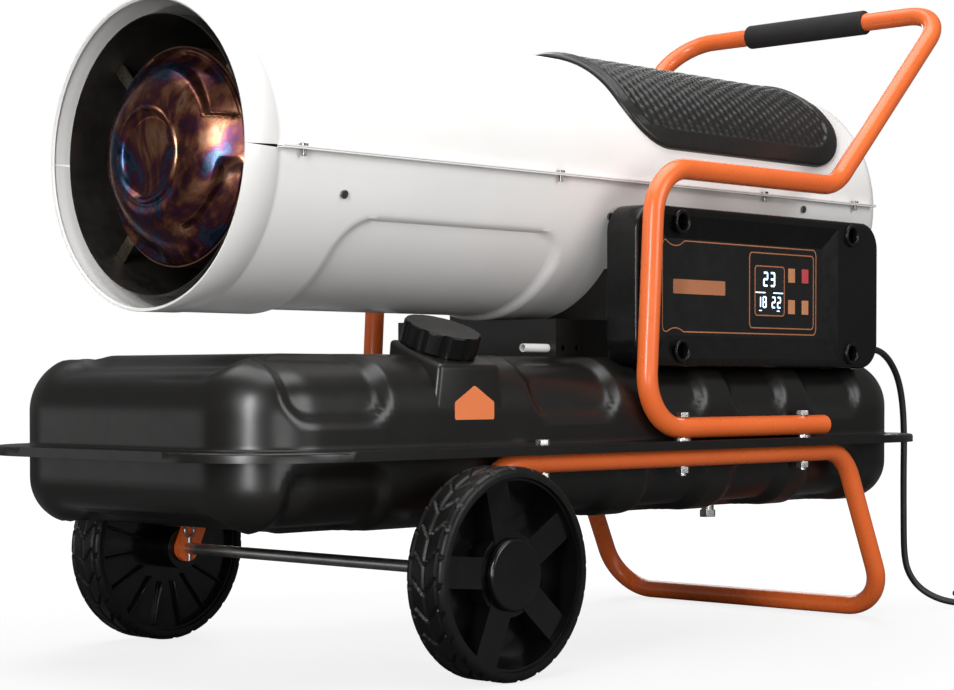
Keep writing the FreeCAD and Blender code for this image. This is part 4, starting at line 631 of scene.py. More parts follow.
class Shape:
    """A mesh under construction, in millimetres, shaped with bmesh operators."""

    def __init__(self) -> None:
        """Start with an empty bmesh."""
        self.bm = bmesh.new()

    def block(self, low: Point, high: Point) -> list[BMVert]:
        """Add a box between two corners.

        Args:
            low: lowest corner.
            high: highest corner.

        Returns:
            Its vertices.
        """
        verts = bmesh.ops.create_cube(self.bm, size=1.0)["verts"]
        bmesh.ops.scale(self.bm, vec=Vector(high) - Vector(low), verts=verts)
        bmesh.ops.translate(self.bm, vec=(Vector(high) + Vector(low)) / 2, verts=verts)
        return verts

    def bar(self, start: Vector, end: Vector, radius: float, segments: int) -> None:
        """Add a round bar between two points.

        Args:
            start: centre of the first end.
            end: centre of the second end.
            radius: radius of the bar.
            segments: sides of the bar.
        """
        run = end - start
        verts = bmesh.ops.create_cone(self.bm, cap_ends=True, segments=segments, radius1=radius,
                                      radius2=radius, depth=run.length)["verts"]
        bmesh.ops.translate(self.bm, vec=(0, 0, run.length / 2), verts=verts)
        bmesh.ops.transform(self.bm, matrix=along(start, run), verts=verts)

    def turn(self, section: Section, place: Matrix, steps: int, start: float = 0.0,
             sweep: float = 360.0) -> None:
        """Spin a section of (radius, height) points round the local Z axis.

        Args:
            section: points of the open section.
            place: matrix from the local axis to the CAD frame.
            steps: spin steps.
            start: first angle, in degrees.
            sweep: angle of the spin, in degrees.
        """
        before = set(self.bm.verts)
        line = [self.bm.verts.new((radius, 0, height)) for radius, height in section]
        edges = [self.bm.edges.new(pair) for pair in zip(line, line[1:])]
        lead = Matrix.Rotation(math.radians(start), 3, "Z")
        bmesh.ops.rotate(self.bm, cent=(0, 0, 0), matrix=lead, verts=line)
        bmesh.ops.spin(self.bm, geom=[*line, *edges], cent=(0, 0, 0), axis=(0, 0, 1),
                       angle=math.radians(sweep), steps=steps, use_merge=abs(sweep) > 359.9)
        made = [v for v in self.bm.verts if v not in before]
        bmesh.ops.remove_doubles(self.bm, verts=made, dist=MERGE_GAP)
        made = [v for v in self.bm.verts if v not in before]
        bmesh.ops.transform(self.bm, matrix=place, verts=made)

    def bevel(self, edges: Sequence[BMEdge], width: float, segments: int) -> None:
        """Round edges with circular arcs."""
        bmesh.ops.bevel(self.bm, geom=list(edges), offset=width, offset_type="OFFSET", affect="EDGES",
                        segments=segments, profile=0.5, material=-1, clamp_overlap=True)

    def divide(self, axis: int, parts: int) -> None:
        """Divide all edges along one axis into equal parts, to give the faces points to shape."""
        edges = [e for e in self.bm.edges if abs((e.verts[0].co - e.verts[1].co).normalized()[axis]) > 0.99]
        bmesh.ops.subdivide_edges(self.bm, edges=edges, cuts=parts - 1, use_grid_fill=True)

    def facing(self, away: Callable[[Vector], Vector]) -> None:
        """Point the faces of an open sheet to the side that is away on the whole.

        Args:
            away: direction away from the piece at a place.
        """
        self.outward()
        lean = sum(f.normal.dot(away(f.calc_center_median())) * f.calc_area() for f in self.bm.faces)
        if lean < 0.0:
            bmesh.ops.reverse_faces(self.bm, faces=self.bm.faces[:])

    def outward(self) -> None:
        """Merge doubles and point all faces outwards."""
        bmesh.ops.remove_doubles(self.bm, verts=self.bm.verts[:], dist=MERGE_GAP)
        bmesh.ops.recalc_face_normals(self.bm, faces=self.bm.faces[:])

    def thicken(self, wall: float) -> None:
        """Give an open sheet a wall, inwards from its faces."""
        bmesh.ops.solidify(self.bm, geom=self.bm.faces[:], thickness=wall)

    def piece(self, name: str, finish: Surface, body: str, slot: str,
              sharp: float = 35.0) -> bpy.types.Object:
        """End the mesh as an object that rides on a body.

        Args:
            name: name of the piece.
            finish: its surface.
            body: CAD body that carries it.
            slot: material slot of the record.
            sharp: edges with a larger angle stay crisp, in degrees.

        Returns:
            The new object.
        """
        bmesh.ops.scale(self.bm, vec=(MM, MM, MM), verts=self.bm.verts[:])
        mesh = bpy.data.meshes.new(name)
        self.bm.to_mesh(mesh)
        self.bm.free()
        # A copy of a CAD mesh brings normals that don't fit its rounded edges.
        stored = mesh.attributes.get("custom_normal")
        if stored is not None:
            mesh.attributes.remove(stored)
        mesh.shade_smooth()
        mesh.set_sharp_from_angle(angle=math.radians(sharp))
        return settle(bpy.data.objects.new(name, mesh), finish, body, slot)


def settle(piece: bpy.types.Object, finish: Surface, body: str, slot: str) -> bpy.types.Object:
    """Put a piece in the scene, dress it and let it ride on its body.

    Args:
        piece: the new object.
        finish: its surface.
        body: CAD body that carries it.
        slot: material slot of the record.

    Returns:
        The same object.
    """
    bpy.context.scene.collection.objects.link(piece)
    piece.data.materials.append(finish.material())
    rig.ride(piece, body)
    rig.slot(piece, slot)
    LOG.info("built %s on %s", piece.name, body)
    return piece


def along(start: Sequence[float], heading: Sequence[float]) -> Matrix:
    """Matrix that puts the local Z axis at a point, along a heading."""
    return Matrix.Translation(start) @ Vector(heading).to_track_quat("Z", "Y").to_matrix().to_4x4()


def soften(frame: Frame, node: str, finish: Surface, radius: float,
           limit: float = 30.0) -> bpy.types.Object:
    """Replace a CAD node by a copy whose crisp edges are rounded.

    Args:
        frame: the CAD frame.
        node: name of the node.
        finish: surface of the piece.
        radius: rounding of the edges, in millimetres.
        limit: edges with a larger angle are rounded, in degrees.

    Returns:
        The new piece.
    """
    shape = Shape()
    shape.bm.from_mesh(frame.data["nodes"][node].data)
    bmesh.ops.scale(shape.bm, vec=(1 / MM, 1 / MM, 1 / MM), verts=shape.bm.verts[:])
    bmesh.ops.remove_doubles(shape.bm, verts=shape.bm.verts[:], dist=MERGE_GAP)
    bmesh.ops.dissolve_limit(shape.bm, angle_limit=math.radians(FLAT_ANGLE), verts=shape.bm.verts[:],
                             edges=shape.bm.edges[:])
    fold = math.radians(limit)
    crisp = [e for e in shape.bm.edges if len(e.link_faces) == 2 and e.calc_face_angle() > fold]
    shape.bevel(crisp, radius, 2)
    piece = shape.piece(f"{node}_rounded", finish, frame.bodies[node], frame.slots[node])
    piece.modifiers.new("flat_faces", "WEIGHTED_NORMAL").keep_sharp = True
    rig.replaces(piece, node)
    return piece


@dataclass(frozen=True)
class Softbox:
    """One soft studio light: where it stands and points, its size in millimetres and its power in watts."""

    name: str
    place: Point
    target: Point
    size: Span
    power: float

    def build(self) -> None:
        """Add the light."""
        lamp = bpy.data.lights.new(self.name, "AREA")
        lamp.shape = "RECTANGLE"
        lamp.size = self.size[0] * MM
        lamp.size_y = self.size[1] * MM
        lamp.energy = self.power
        stand = bpy.data.objects.new(self.name, lamp)
        aim = Vector(self.target) - Vector(self.place)
        stand.location = Vector(self.place) * MM
        stand.rotation_euler = aim.to_track_quat("-Z", "Y").to_euler()
        bpy.context.scene.collection.objects.link(stand)


@dataclass
class Studio:
    """Pale floor, soft light and the photograph's camera."""

    camera_place: Point = (1656.84, -1776.35, 277.91)
    azimuth: float = 43.074
    pitch: float = 1.353
    focal_px: float = 2207.34
    centre_px: Span = (509.46, 433.85)
    floor_half: float = 9000.0
    fill: float = 0.16
    softboxes: tuple[Softbox, ...] = (
        Softbox("top_softbox", (0.0, -200.0, 2300.0), (0.0, 0.0, 400.0), (2200.0, 2200.0), 53.0),
        Softbox("front_softbox", (900.0, -2600.0, 1500.0), (0.0, -200.0, 350.0), (1300.0, 1300.0), 5.0),
        Softbox("side_softbox", (2700.0, 500.0, 1250.0), (0.0, 100.0, 350.0), (1300.0, 1500.0), 33.0),
        Softbox("near_strip", (1100.0, -2300.0, 760.0), (100.0, -450.0, 260.0), (200.0, 1400.0), 38.0),
        Softbox("left_card", (-2000.0, -2050.0, 120.0), (0.0, -500.0, 210.0), (1200.0, 520.0), 1.9),
        Softbox("low_card", (1800.0, -900.0, 170.0), (200.0, 300.0, 90.0), (900.0, 280.0), 4.5),
        Softbox("rear_softbox", (-1800.0, 2200.0, 1600.0), (0.0, 200.0, 400.0), (1600.0, 1600.0), 26.0))

    def build(self) -> None:
        """Set up floor, lights, world and camera."""
        self.floor()
        for softbox in self.softboxes:
            softbox.build()
        self.world()
        self.camera()

    def floor(self) -> None:
        """Lay the floor just under the heater."""
        shape = Shape()
        bmesh.ops.create_grid(shape.bm, x_segments=8, y_segments=8, size=self.floor_half * MM)
        mesh = bpy.data.meshes.new("studio_floor")
        shape.bm.to_mesh(mesh)
        shape.bm.free()
        mesh.materials.append(FLOOR_PAINT.material())
        floor = bpy.data.objects.new("studio_floor", mesh)
        bpy.context.scene.collection.objects.link(floor)
        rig.stage(floor)

    def world(self) -> None:
        """Surround that looks white and lights softly, and a plain view of the colours."""
        world = bpy.data.worlds.new("studio_world")
        world.use_nodes = True
        nodes, links = world.node_tree.nodes, world.node_tree.links
        fill = nodes["Background"]
        seen = nodes.new("ShaderNodeBackground")
        for shade, strength in ((fill, self.fill), (seen, 1.0)):
            shade.inputs["Color"].default_value = (1.0, 1.0, 1.0, 1.0)
            shade.inputs["Strength"].default_value = strength
        mix = nodes.new("ShaderNodeMixShader")
        links.new(nodes.new("ShaderNodeLightPath").outputs["Is Camera Ray"], mix.inputs[0])
        links.new(fill.outputs[0], mix.inputs[1])
        links.new(seen.outputs[0], mix.inputs[2])
        links.new(mix.outputs[0], nodes["World Output"].inputs["Surface"])
        bpy.context.scene.world = world
        bpy.context.scene.view_settings.view_transform = "Standard"

    def camera(self) -> None:
        """Stand the camera where the photograph was taken."""
        turn = math.radians(self.azimuth)
        tilt = math.radians(self.pitch)
        back = Vector((math.sin(turn) * math.cos(tilt), -math.cos(turn) * math.cos(tilt), math.sin(tilt)))
        lens = bpy.data.cameras.new("photo_camera")
        lens.sensor_width = 36.0
        lens.lens = self.focal_px * lens.sensor_width / PHOTO_W
        lens.shift_x = (PHOTO_W / 2 - self.centre_px[0]) / PHOTO_W
        lens.shift_y = (self.centre_px[1] - PHOTO_H / 2) / PHOTO_W
        lens.clip_end = 60.0
        camera = bpy.data.objects.new("photo_camera", lens)
        camera.location = Vector(self.camera_place) * MM
        camera.rotation_euler = (-back).to_track_quat("-Z", "Y").to_euler()
        bpy.context.scene.collection.objects.link(camera)
        bpy.context.scene.camera = camera


@dataclass
class MainsLead:
    """Rubber lead from the control box, its put-away coil, tie, plug and strain relief."""

    radius: float = 4.0
    length: float = 1.58
    exit: Point = (150.0, 464.0, 318.0)
    route: tuple[Point, ...] = (
        (150, 464, 318), (150, 488, 318), (150, 514, 307), (149, 537, 284), (147, 551, 252),
        (146, 556, 210), (145, 556.5, 164), (145, 557, 122), (145, 557.5, 90), (145.5, 558, 64),
        (149.5, 559.5, 42.5), (162.5, 564, 23), (184, 572, 10))
    coil_centre: Span = (226.0, 642.0)
    coil_mid_r: float = 44.0
    coil_turns: float = 1.75
    coil_step: float = 8.7
    coil_heading: float = 20.0
    coil_z: float = 5.3
    points_per_turn: int = 16
    lead_in: float = 36.0
    lead_out: float = 56.0
    tie_angle: float = 160.0
    tie_wide: float = 12.0
    tie_wall: float = 1.0
    tie_corner: float = 3.0
    tie_gap: float = 0.3
    gland_nut_r: float = 11.0
    gland_nut: float = 8.0
    gland_tip_r: float = 5.5
    gland_len: float = 34.0
    gland_ribs: int = 5
    gland_rib_pitch: float = 5.0
    gland_rib_rise: float = 1.4
    gland_rib_run: Point = (0.9, 2.6, 3.5)
    gland_chamfer: float = 1.0

    def build(self, frame: Frame) -> None:
        """Lay the lead and the pieces on it.

        Args:
            frame: the CAD frame.
        """
        plug = soften(frame, "plug", CORD_RUBBER, 3.0)
        tie = self.tie()
        lead = self.lead()
        self.strain_relief()
        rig.cord(lead, exit=tuple(c * MM for c in self.exit), length=self.length,
                diameter=2 * self.radius * MM, far_end="plug", stiffness="medium", lay="coiled",
                with_pieces=[plug, tie])

    def coil_point(self, turns: float) -> Vector:
        """Point of the coil after a number of turns.

        Args:
            turns: turns from the coil's outer end.

        Returns:
            The point on the lead's axis.
        """
        reverse = self.coil_turns + 0.25
        outer = self.coil_mid_r + self.coil_step * self.coil_turns / 2
        radius = outer - self.coil_step * (reverse - abs(turns - reverse))
        radius /= math.cos(math.pi / self.points_per_turn)
        climb = ease(self.coil_turns, self.coil_turns + 0.5, turns)
        angle = math.radians(self.coil_heading - 90.0) + math.tau * turns
        x = self.coil_centre[0] + radius * math.cos(angle)
        y = self.coil_centre[1] + radius * math.sin(angle)
        return Vector((x, y, self.coil_z + self.coil_step * climb))

    def lead(self) -> bpy.types.Object:
        """One smooth spline through the free stretch and the coil.

        Returns:
            The lead.
        """
        turn = math.radians(self.coil_heading)
        heading = Vector((math.cos(turn), math.sin(turn), 0))
        count = round((2 * self.coil_turns + 0.5) * self.points_per_turn)
        coil = [self.coil_point(k / self.points_per_turn) for k in range(count + 1)]
        points = [*map(Vector, self.route), coil[0] - heading * self.lead_in, *coil,
                  coil[-1] + heading * self.lead_out]
        curve = bpy.data.curves.new("mains_lead", "CURVE")
        curve.dimensions = "3D"
        curve.bevel_depth = self.radius * MM
        curve.bevel_resolution = 5
        curve.resolution_u = 6
        curve.use_fill_caps = True
        spline = curve.splines.new("NURBS")
        spline.points.add(len(points) - 1)
        for knot, point in zip(spline.points, points):
            knot.co = (*(point * MM), 1.0)
        spline.order_u = 3
        spline.use_endpoint_u = True
        piece = settle(bpy.data.objects.new("mains_lead", curve), CORD_RUBBER, ROOT, "cord_rubber")
        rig.replaces(piece, "power_cord", "cord_coil")
        return piece

    def tie(self) -> bpy.types.Object:
        """Strap round both layers of the coil.

        Returns:
            The strap.
        """
        inner = self.coil_mid_r - self.coil_step * self.coil_turns / 2 - self.radius - self.coil_step * 0.5
        outer = self.coil_mid_r + self.coil_step * self.coil_turns / 2 + self.radius + self.tie_gap
        high = self.coil_z + self.coil_step + self.radius + self.tie_gap
        half = self.tie_wide / 2
        shape = Shape()
        shape.block((inner - self.tie_wall, -half, 0), (outer + self.tie_wall, half, high + self.tie_wall))
        ends = [f for f in shape.bm.faces if abs(f.normal.y) > 0.9]
        bmesh.ops.delete(shape.bm, geom=ends, context="FACES_ONLY")
        shape.bevel([e for e in shape.bm.edges if len(e.link_faces) == 2], self.tie_corner, 5)
        shape.thicken(self.tie_wall * 0.8)
        turn = Matrix.Rotation(math.radians(self.tie_angle), 4, "Z")
        place = Matrix.Translation((*self.coil_centre, 0)) @ turn
        bmesh.ops.transform(shape.bm, matrix=place, verts=shape.bm.verts[:])
        piece = shape.piece("coil_strap", TIE_TAPE, ROOT, "tie_fabric")
        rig.replaces(piece, "coil_tie")
        return piece

    def strain_relief(self) -> None:
        """Nut and ribbed tapered sleeve where the lead leaves the box."""
        start = self.exit[1] - self.gland_len
        cut = self.gland_chamfer
        section = [(0.0, 0.0), (self.gland_nut_r - cut, 0.0), (self.gland_nut_r, cut),
                   (self.gland_nut_r, self.gland_nut - cut), (self.gland_nut_r - cut, self.gland_nut)]
        root_r = self.gland_nut_r * 0.75
        for k in range(self.gland_ribs):
            rib_r = root_r + (self.gland_tip_r - root_r) * k / (self.gland_ribs - 1)
            groove_r = rib_r - self.gland_rib_rise
            low = self.gland_nut + 0.6 + k * self.gland_rib_pitch
            up, down, foot = (low + run for run in self.gland_rib_run)
            section += [(groove_r, low), (rib_r, up), (rib_r, down), (groove_r, foot)]
        section += [(self.radius + 0.2, self.gland_len), (0.0, self.gland_len)]
        shape = Shape()
        shape.turn(section, along((self.exit[0], start, self.exit[2]), (0, 1, 0)), 32)
        shape.outward()
        piece = shape.piece("strain_relief", CORD_RUBBER, ROOT, "cord_rubber")
        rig.replaces(piece, "cord_gland")


@dataclass
class Barrel:
    """White sheet barrel: two half shells with pressed panels, seam flanges and rear vents."""

    front: float = -503.5
    rear: float = 503.0
    wall: float = 1.2
    hem: tuple[Span, ...] = ((3.4, 2.2), (2.0, 0.4), (0.5, 0.2), (0.0, 1.0))
    collar: float = 39.0
    collar_proud: float = 0.8
    collar_step: float = 1.2
    rear_round: float = 24.0
    rear_lip: float = 6.0
    seam_out: float = 9.0
    seam_gap: float = 1.4
    seam_slack: float = 2.0
    closed_gap: float = 0.1
    panel_depth: float = 5.0
    panel_corner: float = 40.0
    panel_soft: float = 3.5
    upper_panel: Point = (-375.0, -103.0, 27.0)
    lower_panel: Point = (-370.0, -60.0, 24.0)
    ring_step: float = 5.0
    spin_steps: int = 110
    bend_steps: int = 10
    vents: int = 12
    vent_wide: float = 26.0
    vent_rows: Span = (25.0, 55.0)

    def build(self, frame: Frame) -> None:
        """Make both shells and their screws.

        Args:
            frame: the CAD frame.
        """
        self.shell(Half.UPPER, "barrel_upper", "upper_shell", self.upper_panel)
        self.shell(Half.LOWER, "barrel_lower", "lower_shell", self.lower_panel)
        for node in ("seam_screws", "shell_screws"):
            soften(frame, node, SCREW_STEEL, 0.4)

    def shell(self, half: Half, name: str, node: str, panel: Point) -> None:
        """Spin, press and edge one shell.

        Args:
            half: which of the two shells.
            name: name of the piece.
            node: CAD node that it replaces.
            panel: first and last length and edge angle of its pressed panel.
        """
        lead = math.degrees(math.asin(self.seam_gap / BARREL_R))
        start = lead if half is Half.UPPER else lead + 180.0
        shape = Shape()
        shape.turn(self.section(), BARREL_AXIS, self.spin_steps, start, 180.0 - 2.0 * lead)
        self.press_panel(shape, half, panel)
        self.open_vents(shape)
        for side in Side:
            self.add_seam(shape, side)
        self.close_seam(shape, half)
        shape.facing(radial)
        shape.thicken(self.wall)
        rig.replaces(shape.piece(name, SHELL_WHITE, ROOT, "shell_paint"), node)

    def section(self) -> list[Span]:
        """Section from the mouth's hem to the rear lip.

        Returns:
            Points of radius and distance towards the outlet.
        """
        nose = -self.front
        collar_end = nose - self.collar
        tail = self.rear_round - self.rear
        outer = BARREL_R + self.collar_proud
        points = [(outer - inset, nose - back) for inset, back in self.hem]
        points += [(outer, collar_end + self.collar_step), (BARREL_R, collar_end)]
        count = round((collar_end - tail) / self.ring_step)
        points += [(BARREL_R, collar_end + (tail - collar_end) * k / count) for k in range(1, count + 1)]
        for k in range(1, self.bend_steps + 1):
            angle = math.radians(90.0 * k / self.bend_steps)
            radius = BARREL_R - self.rear_round * (1.0 - math.cos(angle))
            points.append((radius, tail - self.rear_round * math.sin(angle)))
        return [*points, (BARREL_R - self.rear_round - self.rear_lip, -self.rear)]

    def press_panel(self, shape: Shape, half: Half, panel: Point) -> None:
        """Sink the rounded panel of one shell.

        Args:
            shape: mesh of the shell.
            half: which of the two shells.
            panel: first and last length and edge angle of the panel.
        """
        low, high, edge = panel
        half_arc = BARREL_R * math.radians(90.0 - edge)
        for vert in shape.bm.verts:
            out = radial(vert.co)
            arc = BARREL_R * math.atan2(out.x, half.value * out.z)
            mask = inside_rounded(arc, vert.co.y - (low + high) / 2, half_arc, (high - low) / 2,
                                  self.panel_corner, self.panel_soft)
            vert.co -= out.normalized() * self.panel_depth * mask

    def open_vents(self, shape: Shape) -> None:
        """Open the slots in the rear bend.

        Args:
            shape: mesh of the shell.
        """
        pitch = math.tau / self.vents
        gone = []
        for face in shape.bm.faces:
            centre = face.calc_center_median()
            row = (centre.y - self.rear + self.rear_round) / self.rear_round
            angle = math.atan2(centre.z - BARREL_Z, centre.x)
            aside = abs(angle % pitch - pitch / 2) * BARREL_R
            if 0.0 < row < 1.0 and aside < self.vent_wide / 2:
                bend = math.degrees(math.asin(row))
                if self.vent_rows[0] < bend < self.vent_rows[1]:
                    gone.append(face)
        bmesh.ops.delete(shape.bm, geom=gone, context="FACES")

    def add_seam(self, shape: Shape, side: Side) -> None:
        """Fold the edge at one side out to a flange.

        Args:
            shape: mesh of the shell.
            side: side of the flange.
        """
        low = self.front + self.collar - NEAR
        high = self.rear - self.rear_round + NEAR
        edges = [e for e in shape.bm.edges if e.is_boundary and all(
            low < v.co.y < high and v.co.x * side.value > BARREL_R - self.seam_slack for v in e.verts)]
        made = bmesh.ops.extrude_edge_only(shape.bm, edges=edges)["geom"]
        bmesh.ops.translate(shape.bm, vec=(side.value * self.seam_out, 0, 0),
                            verts=[g for g in made if isinstance(g, BMVert)])

    def close_seam(self, shape: Shape, half: Half) -> None:
        """Bring the edges that have no flange down to the seam.

        Args:
            shape: mesh of the shell.
            half: which of the two shells.
        """
        low = self.front + self.collar - self.seam_slack
        high = self.rear - self.rear_round + self.seam_slack
        for vert in shape.bm.verts:
            if abs(vert.co.z - BARREL_Z) < self.seam_gap * 1.1 and not low < vert.co.y < high:
                vert.co.z = BARREL_Z + half.value * self.closed_gap


@dataclass
class Outlet:
    """Heat-tinted flame dome with stamped petals, and the steel round it."""

    rim_r: float = 102.0
    rim_y: float = -465.0
    rim_gap: float = 0.4
    rim_fold: Span = (1.0, 7.0)
    rise: float = 34.0
    slope: float = 55.0
    ridge_r: float = 43.0
    ridge_rise: float = 2.8
    ridge_half: float = 3.5
    dish: float = 4.0
    wall: float = 0.3
    rings: int = 72
    steps: int = 288
    petals: int = 4
    petal_start: float = 17.0
    petal_span: float = 70.0
    petal_turn: float = 0.12
    petal_tip: float = 0.75
    petal_end: float = 0.85
    petal_outer: float = 0.965
    petal_depth: float = 6.5
    petal_soft: float = 0.03
    petal_fade: float = 0.85

    def build(self, frame: Frame) -> None:
        """Make the dome and dress what is seen past it.

        Args:
            frame: the CAD frame.
        """
        shape = Shape()
        shape.turn(self.section(), BARREL_AXIS, self.steps)
        self.stamp(shape)
        shape.facing(lambda place: Vector((0.0, -1.0, 0.0)))
        shape.thicken(self.wall)
        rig.replaces(shape.piece("stamped_dome", DOME_TINT, ROOT, "hot_steel"), "flame_dome")
        frame.dress(LINER_STEEL, "air_liner")
        frame.dress(DRUM_STEEL, "combustion_drum")
        soften(frame, "drum_clips", CLIP_STEEL, 0.3)

    def section(self) -> list[Span]:
        """Dome from its middle to its rim.

        Returns:
            Points of radius and distance towards the outlet.
        """
        points = [(0.0, self.height(0.0))]
        for k in range(1, self.rings + 1):
            radius = self.rim_r * k / self.rings
            points.append((radius, self.height(radius)))
        return points + [(self.rim_r + self.rim_gap, -self.rim_y - down) for down in self.rim_fold]

    def height(self, radius: float) -> float:
        """How far the dome stands out at a radius.

        Args:
            radius: distance from the barrel's axis.

        Returns:
            The distance towards the outlet.
        """
        share = min((self.rim_r - radius) / self.slope, 1.0)
        ridge = self.ridge_rise * ease(self.ridge_half, 0.0, abs(radius - self.ridge_r))
        dish = self.dish * ease(self.ridge_r, self.ridge_r - 2.5 * self.ridge_half, radius)
        return -self.rim_y + self.rise * math.sin(share * math.pi / 2) + ridge - dish

    def stamp(self, shape: Shape) -> None:
        """Sink the pinwheel of petals.

        Args:
            shape: mesh of the dome.
        """
        for vert in shape.bm.verts:
            out = radial(vert.co)
            share = out.length / self.rim_r
            turned = (math.degrees(math.atan2(out.z, out.x)) - self.petal_start) % (360.0 / self.petals)
            along_span = turned / self.petal_span
            if along_span < self.petal_turn:
                inner = 1.0 + (self.petal_tip - 1.0) * along_span / self.petal_turn
            else:
                inner = self.petal_tip + (self.petal_end - self.petal_tip) * (along_span - self.petal_turn)
            soft = self.petal_soft
            mask = ease(-soft, soft, share - inner) * ease(soft, -soft, share - self.petal_outer)
            vert.co.y += self.petal_depth * mask * ease(1.0, self.petal_fade, along_span)


@dataclass
class FuelTank:
    """Pressed black tank in two halves, with pressed-in fields, flange and lip."""

    half_w: float = 194.5
    front: float = -533.5
    rear: float = 493.5
    corner: float = 78.0
    wall: float = 1.5
    far_z: Span = (304.0, 138.5)
    seam_z: Span = (216.0, 213.0)
    edge_round: Span = (55.0, 46.0)
    flange_out: Span = (33.5, 31.7)
    field_start: Span = (29.0, 16.0)
    lip: float = 9.0
    fold_round: float = 3.0
    field_depth: float = 8.0
    field_corner: float = 24.0
    field_soft: float = 6.0
    fields: tuple[Span, ...] = (
        (-490.0, -375.0), (-175.0, -51.0), (5.0, 96.0), (148.0, 240.0), (289.0, 386.0))
    field_inner_x: float = 128.0
    nose_half: float = 122.0
    nose_len: float = 75.0
    nose_depth: float = 13.0
    nose_start: Span = (78.0, 62.0)
    nose_soft: float = 22.0
    box_pocket: Point = (149.5, -15.5, 430.5)
    foot_pocket: Point = (119.5, 21.5, 430.5)
    pocket_z: float = 293.4
    cell: float = 6.0

    def build(self, frame: Frame) -> None:
        """Make both halves and what is fixed to them.

        Args:
            frame: the CAD frame.
        """
        self.pressing(Half.UPPER, "tank_top", "tank_upper")
        self.pressing(Half.LOWER, "tank_pan", "tank_lower")
        soften(frame, "riser", TANK_BLACK, 1.5)
        soften(frame, "drain_plug", ZINC, 0.6)
        soften(frame, "vent_tube", WHITE_PLASTIC, 0.8)
        frame.dress(HOSE, "fuel_line")

    def pressing(self, half: Half, name: str, node: str) -> None:
        """Shape one half from a plain block.

        Args:
            half: which of the two halves.
            name: name of the piece.
            node: CAD node that it replaces.
        """
        row = 0 if half is Half.UPPER else 1
        seam, far = self.seam_z[row], self.far_z[row]
        shape = Shape()
        shape.block((-self.half_w, self.front, min(seam, far)), (self.half_w, self.rear, max(seam, far)))
        open_side = [f for f in shape.bm.faces if all(abs(v.co.z - seam) < 0.01 for v in f.verts)]
        bmesh.ops.delete(shape.bm, geom=open_side, context="FACES")
        for axis, size in enumerate((2 * self.half_w, self.rear - self.front, abs(far - seam))):
            shape.divide(axis, round(size / self.cell))
        for vert in shape.bm.verts:
            vert.co = self.pressed(vert.co.copy(), half, row)
        self.add_flange(shape, half, row)
        shape.facing(lambda place: Vector((0.0, 0.0, half.value)))
        shape.thicken(self.wall)
        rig.replaces(shape.piece(name, TANK_BLACK, ROOT, "tank_paint", sharp=50.0), node)

    def core(self, place: Vector) -> Vector:
        """Nearest point of the rectangle that the plan's corners turn round.

        Args:
            place: point of the tank.

        Returns:
            The point, at the same height.
        """
        reach_x = self.half_w - self.corner
        x = min(max(place.x, -reach_x), reach_x)
        y = min(max(place.y, self.front + self.corner), self.rear - self.corner)
        return Vector((x, y, place.z))

    def pressed(self, place: Vector, half: Half, row: int) -> Vector:
        """Move a point of the plain block onto the rounded and pressed form.

        Args:
            place: point on the block.
            half: which of the two halves.
            row: place of the half in the paired sizes.

        Returns:
            The point on the pressed sheet.
        """
        edge = self.edge_round[row]
        core = self.core(place)
        aside = place - core
        foot = core + aside.normalized() * min(self.corner - edge, aside.length)
        rise = max(half.value * (place.z - self.far_z[row]) + edge, 0.0)
        foot.z -= half.value * rise
        out = (place - foot).normalized()
        spot = foot + out * edge
        spot -= out * self.field_depth_at(spot, foot, out, row)
        for inner_x, low, high in (self.box_pocket, self.foot_pocket):
            if half is Half.UPPER and spot.x > inner_x and low < spot.y < high:
                spot.z = min(spot.z, self.pocket_z)
        return spot

    def field_depth_at(self, spot: Vector, foot: Vector, out: Vector, row: int) -> float:
        """How deep the sheet is pressed in at a point.

        Args:
            spot: point on the plain form.
            foot: point that its rounding turns round.
            out: direction out of the form.
            row: place of the half in the paired sizes.

        Returns:
            The depth of the deepest field there.
        """
        edge = self.edge_round[row]
        wall_run = abs(self.far_z[row] - self.seam_z[row]) - edge
        climb = min(abs(spot.z - self.seam_z[row]), wall_run) + edge * math.asin(min(abs(out.z), 1.0))
        top_run = wall_run + edge * math.pi / 2
        start = self.field_start[row]
        side_end = top_run + self.half_w - edge - self.field_inner_x
        side_climb = climb + max(self.half_w - edge - abs(foot.x), 0.0)
        deep = 0.0
        for low, high in self.fields:
            deep = max(deep, self.field_depth * inside_rounded(
                spot.y - (low + high) / 2, side_climb - (start + side_end) / 2, (high - low) / 2,
                (side_end - start) / 2, self.field_corner, self.field_soft))
        if spot.y < self.front + 2.0 * self.nose_len:
            start, end = self.nose_start[row], top_run + self.nose_len - edge
            nose_climb = climb + max(foot.y - self.front - edge, 0.0)
            deep = max(deep, self.nose_depth * inside_rounded(
                spot.x, nose_climb - (start + end) / 2, self.nose_half, (end - start) / 2,
                self.field_corner, self.nose_soft))
        return deep

    def add_flange(self, shape: Shape, half: Half, row: int) -> None:
        """Fold the open edge out to a flange, with a lip on the upper half.

        Args:
            shape: mesh of the tank half.
            half: which of the two halves.
            row: place of the half in the paired sizes.
        """
        root = [e for e in shape.bm.edges if e.is_boundary]
        edge = self.fold(shape, root, lambda place: self.aside(place) * self.flange_out[row])
        folds = root
        if half is Half.UPPER:
            self.fold(shape, edge, lambda place: Vector((0.0, 0.0, -self.lip)))
            folds = root + edge
        shape.bevel(folds, self.fold_round, 4)

    def aside(self, place: Vector) -> Vector:
        """Level direction out of the tank's plan."""
        return (place - self.core(place)).normalized()

